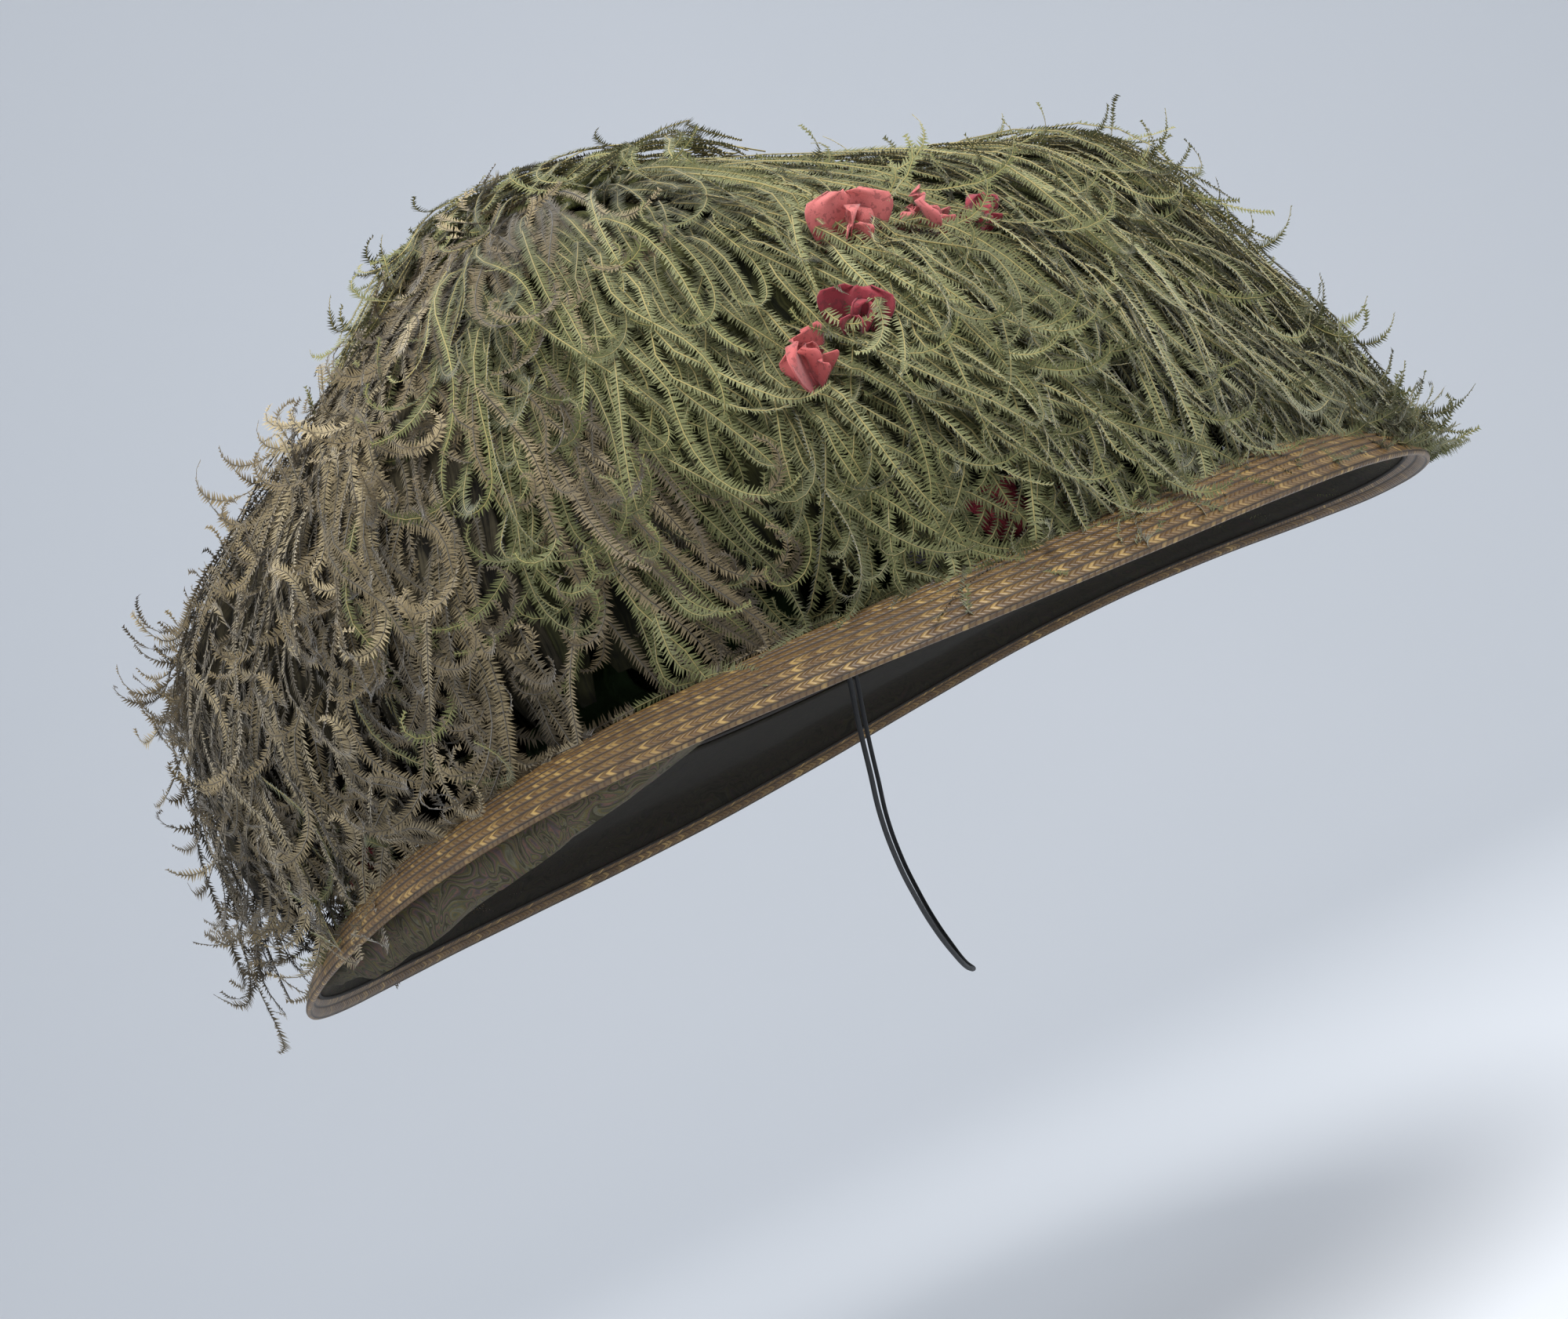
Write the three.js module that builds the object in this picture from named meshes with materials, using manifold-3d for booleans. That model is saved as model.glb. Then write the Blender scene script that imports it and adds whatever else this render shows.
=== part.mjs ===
// A wide straw hat of about 1910, heaped with drooping ostrich plumes.
// Millimetres, +Z up, +X to the front, -Y to the wearer's right.
// The origin is the middle of the head opening, where the crown meets the brim.
import * as THREE from "three";
import { mergeVertices } from "three/addons/utils/BufferGeometryUtils.js";
import Module from "manifold-3d";

const wasm = await Module();
wasm.setup();

// Driving dimensions of the straw body
const openingLength = 200; // head opening, front to back
const openingWidth = 178; // head opening, side to side
const crownHeight = 122; // top of the crown above the opening
const crownSquareness = 2.8; // 2 is a plain dome, more is boxier
const strawThickness = 2.2;
const brimLength = 500; // rim, front to back
const brimWidth = 444; // rim, side to side
const brimSetBack = 20; // how far the rim's middle lies behind the opening's
const brimDrop = 28; // mean rim below the opening
const turnRadius = 47; // bend of the turned-down edge
const edgeSlope = THREE.MathUtils.degToRad(58); // steepness at the rim
const rowPitch = 4.3; // one row of straw plait
const rowLap = 0.7; // how far a row stands over the next
const lappedRows = 6; // rows modelled with their laps, from the rim in
const seamGap = 0.3; // clearance between sewn pieces

// Driving dimensions of the cloth pieces
const liningThickness = 1;
const liningEdge = 10; // straw left bare inside the rim
const liningSag = 24; // how far the slack quarter of the lining hangs
const bandHeight = 44; // velvet wound round the foot of the crown
const bandThickness = 6;
const bandFolds = 3;
const ribbonThickness = 1.6;
const loopWidth = 34; // ribbon width of the bow loops
const loopReach = 40; // how far a loop stands out from the band

// Driving dimensions of the plumes
const plumeCentre = -40; // x of the axis that the plumes fall away from
const plumeHeight = 216; // top of the plumes, without the crest
const lockThickness = 26; // a lock at its fullest
const lockOverlap = 1.3; // share of its cell that a lock fills, so that neighbours fuse
const sweep = THREE.MathUtils.degToRad(6); // drift of the locks to front and back
const tipCurl = 16; // how far a lock's tip turns in
const rootRing = 34; // radius of the ring where the locks are sewn down
const rootCentre = -15; // x of that ring's middle

// Driving dimensions of the blossoms and the elastic
const petalThickness = 1;
const stemRadius = 1.2;
const elasticDiameter = 2;

// How the rim rises and falls round the hat, in turns of the whole circle
const rimWaves = [
  { turns: 2, rise: -7, twist: -4 },
  { turns: 4, rise: -1.6, twist: 2.4 },
];

// Outline of the plumes round their axis. Azimuth 0 is the front and 90 the wearer's right. The rise is
// the height over the middle of the shoulder's reach.
const plumeOutline = [
  { azimuth: 0, rise: 170, shoulderReach: 214, shoulderHeight: 138, bellyReach: 244, fringeReach: 284, fringeHeight: -8 },
  { azimuth: 45, rise: 194, shoulderReach: 180, shoulderHeight: 132, bellyReach: 220, fringeReach: 236, fringeHeight: -4 },
  { azimuth: 90, rise: 208, shoulderReach: 150, shoulderHeight: 162, bellyReach: 184, fringeReach: 192, fringeHeight: 2 },
  { azimuth: 135, rise: 208, shoulderReach: 172, shoulderHeight: 150, bellyReach: 213, fringeReach: 214, fringeHeight: 0 },
  { azimuth: 180, rise: 194, shoulderReach: 230, shoulderHeight: 130, bellyReach: 250, fringeReach: 256, fringeHeight: -8 },
  { azimuth: 225, rise: 206, shoulderReach: 170, shoulderHeight: 146, bellyReach: 210, fringeReach: 214, fringeHeight: 2 },
  { azimuth: 270, rise: 206, shoulderReach: 150, shoulderHeight: 158, bellyReach: 184, fringeReach: 192, fringeHeight: 8 },
  { azimuth: 315, rise: 192, shoulderReach: 178, shoulderHeight: 132, bellyReach: 214, fringeReach: 232, fringeHeight: -2 },
];

// The plumes, in order round the crown. After the right front one some locks lie sunk under the others,
// and end early, and the blossoms nestle in the hollow over them.
const plumes = [
  { name: "plume_front", from: -31, to: 6, locks: 4, colour: 0x6f7a4c },
  { name: "plume_right_front", from: 8, to: 36, locks: 4, colour: 0x6f7a4c },
  { name: "plume_right", from: 80, to: 109, locks: 3, colour: 0x6b7650 },
  { name: "plume_right_back", from: 111, to: 151, locks: 4, colour: 0x6d6758 },
  { name: "plume_back", from: 153, to: 198, locks: 5, colour: 0x6d6758 },
  { name: "plume_left_back", from: 200, to: 241, locks: 4, colour: 0x6d6758 },
  { name: "plume_left", from: 243, to: 288, locks: 4, colour: 0x6b7650 },
  { name: "plume_left_front", from: 290, to: 327, locks: 4, colour: 0x6f7a4c },
];

const sunkLocks = { from: 38, to: 82, locks: 3, depth: 14, fall: 0.82 };

// The crest plume lies on top of the others, from its quill forward of the middle to the back, and both
// of its ends droop.
const crest = {
  front: 44,
  back: -150,
  foot: 212,
  height: 240,
  halfSpread: 60,
  rise: 6,
  frontDroop: 24,
  backDroop: 14,
  locks: 4,
};

// Sweet-pea blossoms by the middle of each one's foot. Those with a height nestle on the sunk locks, and
// the others are sewn to the brim under them.
const blossoms = [
  { x: 53, y: -156, z: 113, span: 32, turn: 15, colour: 0xb9474b },
  { x: 82, y: -142, z: 108, span: 26, turn: 100, colour: 0xb9474b },
  { x: 106, y: -130, z: 106, span: 20, turn: 50, colour: 0x8f1f32 },
  { x: 41, y: -177, z: 82, span: 26, turn: -20, colour: 0x8f1f32 },
  { x: 19, y: -182, z: 72, span: 26, turn: 60, colour: 0xb9474b },
  { x: 80, y: -146, span: 30, turn: 40, colour: 0xa8323f },
  { x: 34, y: -150, span: 28, turn: 120, colour: 0xa59db4 },
  { x: 56, y: -172, span: 28, turn: 200, colour: 0x8f1f32 },
  { x: -222, y: -36, span: 32, turn: 300, colour: 0x6d1420 },
];

// The right half of the chin elastic, from inside the crown to under the chin. Side is a share of the
// half width at which it is sewn.
const elasticHalf = [
  { x: -10, side: 0.995, z: 8 },
  { x: -12, side: 1, z: -2 },
  { x: -16, side: 1, z: -17 },
  { x: -20, side: 1, z: -32 },
  { x: -24, side: 0.985, z: -49 },
  { x: -28, side: 0.95, z: -66 },
  { x: -30, side: 0.885, z: -84 },
  { x: -30, side: 0.77, z: -100 },
  { x: -29, side: 0.61, z: -114 },
  { x: -27, side: 0.41, z: -126 },
  { x: -25, side: 0.2, z: -134 },
];
const chin = { x: -23, z: -137 };

// Facets round the brim, and round the crown with its band, each a multiple of four
const roundSteps = 40;
const crownSteps = 28;

const degrees = THREE.MathUtils.degToRad;
const { lerp } = THREE.MathUtils;

// Makes a closed geometry from a list of corner rings. A looped loft joins its last ring to its first,
// and any other is capped at both ends.
function loft(rings, looped) {
  const size = rings[0].length;
  const corners = rings.flat();
  const faces = [];
  const spans = looped ? rings.length : rings.length - 1;
  for (let i = 0; i < spans; i += 1) {
    const a = i * size;
    const b = ((i + 1) % rings.length) * size;
    for (let j = 0; j < size; j += 1) {
      const k = (j + 1) % size;
      faces.push(a + j, a + k, b + k, a + j, b + k, b + j);
    }
  }
  if (!looped) {
    const last = (rings.length - 1) * size;
    for (let j = 1; j < size - 1; j += 1) {
      faces.push(0, j + 1, j);
      faces.push(last, last + j, last + j + 1);
    }
  }
  const geometry = new THREE.BufferGeometry().setFromPoints(corners);
  geometry.setIndex(faces);
  return facingOut(geometry);
}

// Turns a closed geometry's faces round if they point in.
function facingOut(geometry) {
  const at = geometry.attributes.position;
  const order = geometry.index.array;
  const [a, b, c] = [new THREE.Vector3(), new THREE.Vector3(), new THREE.Vector3()];
  let volume = 0;
  for (let i = 0; i < order.length; i += 3) {
    a.fromBufferAttribute(at, order[i]);
    b.fromBufferAttribute(at, order[i + 1]);
    c.fromBufferAttribute(at, order[i + 2]);
    volume += a.dot(b.cross(c));
  }
  if (volume < 0) {
    for (let i = 0; i < order.length; i += 3) {
      [order[i + 1], order[i + 2]] = [order[i + 2], order[i + 1]];
    }
  }
  return geometry;
}

function toSolid(geometry) {
  const bare = geometry.clone();
  bare.deleteAttribute("normal");
  bare.deleteAttribute("uv");
  const merged = mergeVertices(bare, 1e-3);
  return new wasm.Manifold(
    new wasm.Mesh({
      numProp: 3,
      vertProperties: new Float32Array(merged.attributes.position.array),
      triVerts: new Uint32Array(merged.index.array),
    }),
  );
}

function toGeometry(solid) {
  const mesh = solid.getMesh();
  const geometry = new THREE.BufferGeometry();
  geometry.setAttribute("position", new THREE.BufferAttribute(mesh.vertProperties, 3));
  geometry.setIndex(new THREE.BufferAttribute(mesh.triVerts, 1));
  geometry.computeVertexNormals();
  return geometry;
}

// Joins closed geometries that overlap into one, without the hollows shut in between them.
function fuse(geometries) {
  const whole = geometries.map(toSolid).reduce((sum, next) => sum.add(next));
  const outer = whole.decompose().filter((shell) => shell.volume() > 0);
  return toGeometry(outer.reduce((sum, next) => sum.add(next)).simplify(0.02));
}

// Moves a geometry along a direction until it lies the seam gap off the other one.
function settle(geometry, onto, direction) {
  const base = toSolid(onto);
  for (let i = 0; i < 8; i += 1) {
    const gap = toSolid(geometry).minGap(base, 30);
    const move = direction.clone().multiplyScalar(gap - seamGap);
    geometry.translate(move.x, move.y, move.z);
  }
  return geometry;
}

function material(name, colour, roughness) {
  return new THREE.MeshStandardMaterial({ name, color: colour, roughness, metalness: 0 });
}

const finishes = {
  straw: material("straw", 0xa9783c, 0.55),
  lining: material("lining", 0x5c5b54, 0.85),
  velvet: material("velvet", 0x122010, 0.9),
  elastic: material("elastic", 0x0b0e10, 0.7),
};

function piece(name, geometry, finish) {
  const mesh = new THREE.Mesh(geometry, finish);
  mesh.name = name;
  return mesh;
}

// A value that follows its rows smoothly round the hat. The rows have even azimuths.
function roundValue(rows, column, azimuth) {
  const step = degrees(360) / rows.length;
  const place = THREE.MathUtils.euclideanModulo(azimuth, degrees(360)) / step;
  const first = Math.floor(place);
  const ease = (1 - Math.cos((place - first) * Math.PI)) / 2;
  return lerp(rows[first % rows.length][column], rows[(first + 1) % rows.length][column], ease);
}

// Half the crown's outline at a height, as a share of its foot
function crownShare(height) {
  const level = THREE.MathUtils.clamp(height / crownHeight, 0, 1);
  return (1 - level ** crownSquareness) ** (1 / crownSquareness);
}

// A point on the outside of the crown at a height
function crownSide(azimuth, height, proud = 0) {
  const share = crownShare(height);
  const length = openingLength / 2 + strawThickness;
  const width = openingWidth / 2 + strawThickness;
  return new THREE.Vector3(
    (length * share + proud) * Math.cos(azimuth),
    -(width * share + proud) * Math.sin(azimuth),
    height,
  );
}

// Height of the crown's top over a point
function crownTop(x, y) {
  const length = openingLength / 2 + strawThickness;
  const width = openingWidth / 2 + strawThickness;
  const share = Math.min(1, Math.hypot(x / length, y / width));
  return crownHeight * (1 - share ** crownSquareness) ** (1 / crownSquareness);
}

// The straw crown: a hollow dome, open below
function crown() {
  const outerRows = 7;
  const innerRows = 5;
  const profile = [];
  for (let i = 0; i <= outerRows; i += 1) {
    const lean = degrees((90 * i) / outerRows);
    const level = Math.cos(lean) ** (2 / crownSquareness);
    const share = i === 0 ? 0 : (1 - level ** crownSquareness) ** (1 / crownSquareness);
    profile.push(new THREE.Vector2(share * (openingLength / 2 + strawThickness), level * crownHeight));
  }
  for (let i = innerRows; i >= 0; i -= 1) {
    const lean = degrees((90 * i) / innerRows);
    const level = Math.cos(lean) ** (2 / crownSquareness);
    const share = i === 0 ? 0 : (1 - level ** crownSquareness) ** (1 / crownSquareness);
    const height = level * (crownHeight - strawThickness);
    profile.push(new THREE.Vector2((share * openingLength) / 2, height));
  }
  const geometry = new THREE.LatheGeometry(profile, crownSteps);
  geometry.rotateX(degrees(90));
  geometry.scale(1, openingWidth / openingLength, 1);
  geometry.deleteAttribute("normal");
  geometry.deleteAttribute("uv");
  return facingOut(mergeVertices(geometry, 1e-3));
}

function rimRise(azimuth) {
  return rimWaves.reduce(
    (sum, wave) =>
      sum + wave.rise * Math.cos(wave.turns * azimuth) + wave.twist * Math.sin(wave.turns * azimuth),
    0,
  );
}

// The line across the brim at an azimuth: its inner and outer ends in plan
function brimLine(azimuth) {
  const inner = new THREE.Vector2(
    (openingLength / 2 + strawThickness + seamGap) * Math.cos(azimuth),
    -(openingWidth / 2 + strawThickness + seamGap) * Math.sin(azimuth),
  );
  const outer = new THREE.Vector2(
    -brimSetBack + (brimLength / 2) * Math.cos(azimuth),
    (-brimWidth / 2) * Math.sin(azimuth),
  );
  return { inner, outer, width: inner.distanceTo(outer) };
}

// A point of the brim's top surface, a distance in from the rim along the surface, moved out by "proud".
function brimPoint(azimuth, fromRim, proud) {
  const { inner, outer, width } = brimLine(azimuth);
  const flatDrop = brimDrop - turnRadius * (1 - Math.cos(edgeSlope));
  const flatWidth = width - turnRadius * Math.sin(edgeSlope);
  const turnLength = turnRadius * edgeSlope;
  let across;
  let height;
  let slope;
  if (fromRim < turnLength) {
    slope = edgeSlope - fromRim / turnRadius;
    across = flatWidth + turnRadius * Math.sin(slope);
    height = -flatDrop - turnRadius * (1 - Math.cos(slope));
  } else {
    slope = Math.atan2(flatDrop, flatWidth);
    across = flatWidth - (fromRim - turnLength);
    height = (-flatDrop * across) / flatWidth;
  }
  across += proud * Math.sin(slope);
  height += proud * Math.cos(slope) + rimRise(azimuth) * (across / width) ** 2;
  const plan = inner.clone().lerp(outer, across / width);
  return new THREE.Vector3(plan.x, plan.y, height);
}

// Distance from the rim to the foot of the crown, along the brim
function brimReach(azimuth) {
  return brimLine(azimuth).width + turnRadius * (edgeSlope - Math.sin(edgeSlope));
}

// Distances from the rim at which both the straw's underside and the lining have their corners
function undersideStations(azimuth, first) {
  const turned = turnRadius * edgeSlope;
  const reach = brimReach(azimuth);
  return [first, lerp(first, turned, 0.5), turned, lerp(turned, reach, 0.5), reach];
}

// The straw brim, with the laps of its outer rows
function brim() {
  const sections = [];
  for (let i = 0; i < roundSteps; i += 1) {
    const azimuth = degrees((360 * i) / roundSteps);
    const reach = brimReach(azimuth);
    const section = [];
    for (let row = 0; row < lappedRows; row += 1) {
      section.push(brimPoint(azimuth, row * rowPitch, rowLap));
      section.push(brimPoint(azimuth, (row + 1) * rowPitch, 0));
    }
    const lapEnd = lappedRows * rowPitch;
    section.push(brimPoint(azimuth, lapEnd, rowLap));
    section.push(brimPoint(azimuth, lerp(lapEnd, reach, 0.45), rowLap));
    section.push(brimPoint(azimuth, reach, rowLap));
    section.push(brimPoint(azimuth, reach, -strawThickness));
    const under = undersideStations(azimuth, liningEdge).reverse().slice(1);
    under.forEach((fromRim) => section.push(brimPoint(azimuth, fromRim, -strawThickness)));
    section.push(brimPoint(azimuth, 0, -strawThickness));
    sections.push(section);
  }
  return loft(sections, true);
}

// The two straw pieces, which the trimmings are sewn to
const straw = { crown: crown(), brim: brim() };
const down = new THREE.Vector3(0, 0, -1);

// The cloth lining under the brim. It hangs slack on the wearer's right, towards the back.
function lining() {
  const slackMiddle = degrees(132);
  const slackHalf = degrees(52);
  const sections = [];
  for (let i = 0; i < roundSteps; i += 1) {
    const azimuth = degrees((360 * i) / roundSteps);
    const away = Math.min(1, Math.abs(azimuth - slackMiddle) / slackHalf);
    const slack = liningSag * Math.cos((away * Math.PI) / 2) ** 2;
    const stations = undersideStations(azimuth, liningEdge);
    const reach = brimReach(azimuth);
    const upper = [];
    const lower = [];
    stations.forEach((fromRim) => {
      const share = (fromRim - liningEdge) / (reach - liningEdge);
      const hang = slack * Math.sin(Math.PI * share ** 0.36);
      const top = brimPoint(azimuth, fromRim, -strawThickness - seamGap);
      const foot = brimPoint(azimuth, fromRim, -strawThickness - seamGap - liningThickness);
      top.z -= hang;
      foot.z -= hang;
      upper.push(top);
      lower.push(foot);
    });
    sections.push([...lower, ...upper.reverse()]);
  }
  return loft(sections, true);
}

// The velvet wound round the foot of the crown, in soft folds
function velvetBand() {
  const foot = rowLap + seamGap;
  const fold = bandHeight / bandFolds;
  const sections = [];
  for (let i = 0; i < crownSteps; i += 1) {
    const azimuth = degrees((360 * i) / crownSteps);
    const section = [];
    for (let f = 0; f < bandFolds; f += 1) {
      const low = foot + f * fold;
      section.push(crownSide(azimuth, low + fold * 0.08, bandThickness * 0.45));
      section.push(crownSide(azimuth, low + fold * 0.6, bandThickness));
    }
    section.push(crownSide(azimuth, foot + bandHeight, bandThickness * 0.5));
    section.push(crownSide(azimuth, foot + bandHeight, seamGap));
    section.push(crownSide(azimuth, foot + bandHeight / 2, seamGap));
    section.push(crownSide(azimuth, foot, seamGap));
    sections.push(section);
  }
  return loft(sections, true);
}

// A flattened loop of velvet ribbon, standing out from the band and resting near the brim
function velvetLoop(azimuth, reachShare) {
  const reach = loopReach * reachShare;
  const outline = [
    [0, 3],
    [reach * 0.5, 0],
    [reach * 0.9, 2],
    [reach, 9],
    [reach * 0.8, 17],
    [reach * 0.4, 23],
    [0, 27],
  ];
  const inside = [
    [ribbonThickness, 27 - ribbonThickness * 1.5],
    [reach * 0.4, 23 - ribbonThickness],
    [reach * 0.78, 17 - ribbonThickness],
    [reach - ribbonThickness, 9],
    [reach * 0.88, 2 + ribbonThickness],
    [reach * 0.5, ribbonThickness],
    [ribbonThickness, 3 + ribbonThickness],
  ];
  const shape = new THREE.Shape(outline.map(([x, y]) => new THREE.Vector2(x, y)));
  shape.holes.push(new THREE.Path(inside.map(([x, y]) => new THREE.Vector2(x, y))));
  const geometry = new THREE.ExtrudeGeometry(shape, { depth: loopWidth, steps: 1, bevelEnabled: false });
  geometry.translate(0, 0, -loopWidth / 2);
  geometry.rotateX(degrees(90));
  const seat = crownSide(azimuth, bandHeight * 0.4, bandThickness + seamGap + 0.2);
  geometry.rotateZ(-azimuth);
  geometry.translate(seat.x, seat.y, rowLap + 1.5);
  return geometry;
}

// A point on the outer face of the plumes. Share 0 is the top and 1 the fringe.
function plumePoint(azimuth, share, sink) {
  const row = (column) => roundValue(plumeOutline, column, azimuth);
  const middleHeight = (row("shoulderHeight") + row("fringeHeight")) / 2;
  const profile = new THREE.SplineCurve([
    new THREE.Vector2(0, plumeHeight),
    new THREE.Vector2(row("shoulderReach") / 2, row("rise")),
    new THREE.Vector2(row("shoulderReach"), row("shoulderHeight")),
    new THREE.Vector2(row("bellyReach"), middleHeight),
    new THREE.Vector2(row("fringeReach"), row("fringeHeight")),
  ]);
  const at = profile.getPoint(share);
  const run = profile.getTangent(share);
  const reach = at.x - sink * Math.abs(run.y);
  return new THREE.Vector3(
    plumeCentre + reach * Math.cos(azimuth),
    -reach * Math.sin(azimuth),
    at.y - sink * Math.abs(run.x),
  );
}

// A four-cornered ring round a point, wide along "across" and thick along "out", broader inside
const tuftCorners = [
  { side: -1, up: -0.7 },
  { side: 1, up: -0.7 },
  { side: 0.5, up: 1 },
  { side: -0.5, up: 1 },
];
function tuftRing(middle, across, out, halfWidth, halfThick) {
  return tuftCorners.map(({ side, up }) =>
    middle
      .clone()
      .addScaledVector(across, side * halfWidth)
      .addScaledVector(out, up * halfThick),
  );
}

// The stations of a lock from its root to its curled tip: its place on the plumes' face,
// and its width and thickness as shares of the full ones
const lockStations = [
  { share: 0, width: 0.9, thick: 0.5 },
  { share: 0.18, width: 1, thick: 0.8 },
  { share: 0.46, width: 1, thick: 1 },
  { share: 0.78, width: 1, thick: 0.86 },
  { share: 1, width: 0.56, thick: 0.4 },
];

// One lock of a plume. It leaves the crown, rises to the plumes' face or some depth under it, falls to
// the fringe or a share of the way there, and turns in.
function lock(azimuth, halfCell, depth = 0, fall = 1) {
  const rings = [];
  lockStations.forEach(({ share: station, width, thick }) => {
    const share = lerp(station, station * fall, station);
    const drift = share ** 1.2;
    const turned = azimuth - sweep * Math.sin(2 * azimuth) * drift;
    const crowding = 1 - 2 * sweep * Math.cos(2 * azimuth) * drift;
    const across = new THREE.Vector3(Math.sin(turned), Math.cos(turned), 0);
    const halfThick = (lockThickness / 2) * thick;
    const onFace = plumePoint(turned, share, depth + halfThick);
    let middle = onFace;
    let out = plumePoint(turned, share, depth).sub(onFace).normalize();
    const sewn = new THREE.Vector3(
      rootCentre + rootRing * Math.cos(azimuth),
      -rootRing * Math.sin(azimuth),
      0,
    );
    sewn.z = crownTop(sewn.x, sewn.y) + seamGap + halfThick;
    const climb = Math.min(1, share * 5.6);
    if (climb < 1) {
      middle = sewn.clone().lerp(onFace, climb);
      out = new THREE.Vector3(0, 0, 1).lerp(out, climb).normalize();
    }
    const reach = Math.hypot(middle.x - lerp(rootCentre, plumeCentre, climb), middle.y);
    const halfWidth = reach * Math.tan(halfCell) * crowding * width;
    rings.push(tuftRing(middle, across, out, halfWidth, halfThick));
  });
  const end = rings.at(-1);
  const inward = new THREE.Vector3(-Math.cos(azimuth), Math.sin(azimuth), 0);
  const middle = end.reduce((sum, corner) => sum.add(corner), new THREE.Vector3()).divideScalar(4);
  const curled = end.map((corner) =>
    corner.clone().lerp(middle, 0.45).addScaledVector(inward, tipCurl),
  );
  rings.push(curled);
  return loft(rings, false);
}

// A row of locks side by side
function lockRow({ from, to, locks, depth, fall }) {
  const halfCell = (degrees(to - from) / (2 * locks)) * lockOverlap;
  const first = degrees(from) + halfCell;
  const last = degrees(to) - halfCell;
  const made = [];
  for (let i = 0; i < locks; i += 1) {
    made.push(lock(lerp(first, last, i / (locks - 1)), halfCell, depth, fall));
  }
  return made;
}

function plume(row) {
  const made = lockRow(row);
  if (row.name === "plume_right") {
    made.push(...lockRow(sunkLocks));
  }
  return settle(fuse(made), straw.crown, down);
}

// The crest plume: long locks that lie along the top towards the back, on a quill sewn to the crown
function crestPlume() {
  const stations = [
    { share: 0, thick: 0.5 },
    { share: 0.25, thick: 0.9 },
    { share: 0.5, thick: 1 },
    { share: 0.75, thick: 0.8 },
    { share: 1, thick: 0.35 },
  ];
  const full = crest.height - crest.foot;
  const made = [];
  for (let i = 0; i < crest.locks; i += 1) {
    const side = lerp(-1, 1, i / (crest.locks - 1));
    const rings = stations.map(({ share, thick }) => {
      const spread = crest.halfSpread * (0.3 + 0.7 * share);
      const halfThick = (full / 2) * thick;
      const toFront = Math.max(0, 1 - share / 0.55);
      const toBack = Math.max(0, (share - 0.55) / 0.45);
      const droop = crest.frontDroop * toFront ** 2 + crest.backDroop * toBack ** 2;
      const arch = crest.rise * Math.sin(Math.PI * share) * (1 - side * side * 0.8);
      const middle = new THREE.Vector3(
        lerp(crest.front, crest.back + 26 * side * side, share),
        side * spread,
        crest.foot + full / 2 + arch - droop,
      );
      const across = new THREE.Vector3(0, 1, 0);
      const halfWidth = (spread / (crest.locks - 1)) * lockOverlap * 1.3;
      return tuftRing(middle, across, new THREE.Vector3(0, 0, 1), halfWidth, halfThick);
    });
    made.push(loft(rings, false));
  }
  const quillFoot = crownTop(rootCentre, 0) + seamGap;
  const quill = new THREE.CylinderGeometry(4, 6, crest.foot + full / 2 - quillFoot, 6);
  quill.rotateX(degrees(90));
  quill.translate(rootCentre, 0, (crest.foot + full / 2 + quillFoot) / 2);
  made.push(quill);
  return settle(fuse(made), straw.crown, down);
}

// A petal: a rounded outline, thin and cupped, standing on its foot
function petal(width, height, cup) {
  const outline = [
    [0.12, 0],
    [0.46, 0.36],
    [0.46, 0.76],
    [0.14, 1],
    [-0.14, 0.96],
    [-0.48, 0.72],
    [-0.44, 0.34],
    [-0.12, 0],
  ];
  const shape = new THREE.Shape(outline.map(([x, y]) => new THREE.Vector2(x * width, y * height)));
  const geometry = new THREE.ExtrudeGeometry(shape, {
    depth: petalThickness,
    steps: 1,
    bevelEnabled: false,
  });
  const at = geometry.attributes.position;
  for (let i = 0; i < at.count; i += 1) {
    const x = at.getX(i) / width;
    const y = at.getY(i) / height;
    at.setZ(i, at.getZ(i) + cup * (x * x * 2.4 + y * y * 0.5));
  }
  return geometry;
}

// A sweet pea: a broad back petal, two wings, a keel and a stem down to its seat
function blossom({ x, y, z, span, turn }, bed) {
  const parts = [petal(span, span * 0.8, span * 0.28)];
  [-1, 1].forEach((side) => {
    const wing = petal(span * 0.52, span * 0.58, span * 0.2 * side);
    wing.rotateY(degrees(62 * side));
    wing.translate(0, 0.8, petalThickness * 0.6);
    parts.push(wing);
  });
  parts.forEach((part) => part.rotateX(degrees(90 - 28)));
  const keel = new THREE.ConeGeometry(span * 0.12, span * 0.34, 4);
  keel.rotateX(degrees(90));
  keel.translate(0, 0, span * 0.14);
  parts.push(keel);
  parts.forEach((part) => part.rotateZ(degrees(turn)));
  const outward = new THREE.Vector3(x - plumeCentre, y, 0).normalize();
  const stemLength = stemRadius * 4;
  const head = new THREE.Vector3(x, y, z ?? brimTop(x, y) + seamGap + stemLength);
  const stem = new THREE.CylinderGeometry(stemRadius, stemRadius, stemLength + 1, 4);
  stem.rotateX(degrees(90));
  stem.translate(0, 0, (1 - stemLength) / 2);
  parts.push(stem);
  if (z) {
    const lean = new THREE.Quaternion().setFromUnitVectors(
      new THREE.Vector3(0, 0, 1),
      outward.clone().setZ(0.9).normalize(),
    );
    parts.forEach((part) => part.applyQuaternion(lean));
  }
  parts.forEach((part) => part.translate(head.x, head.y, head.z));
  return z ? settle(fuse(parts), bed, outward.negate()) : settle(fuse(parts), straw.brim, down);
}

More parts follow.
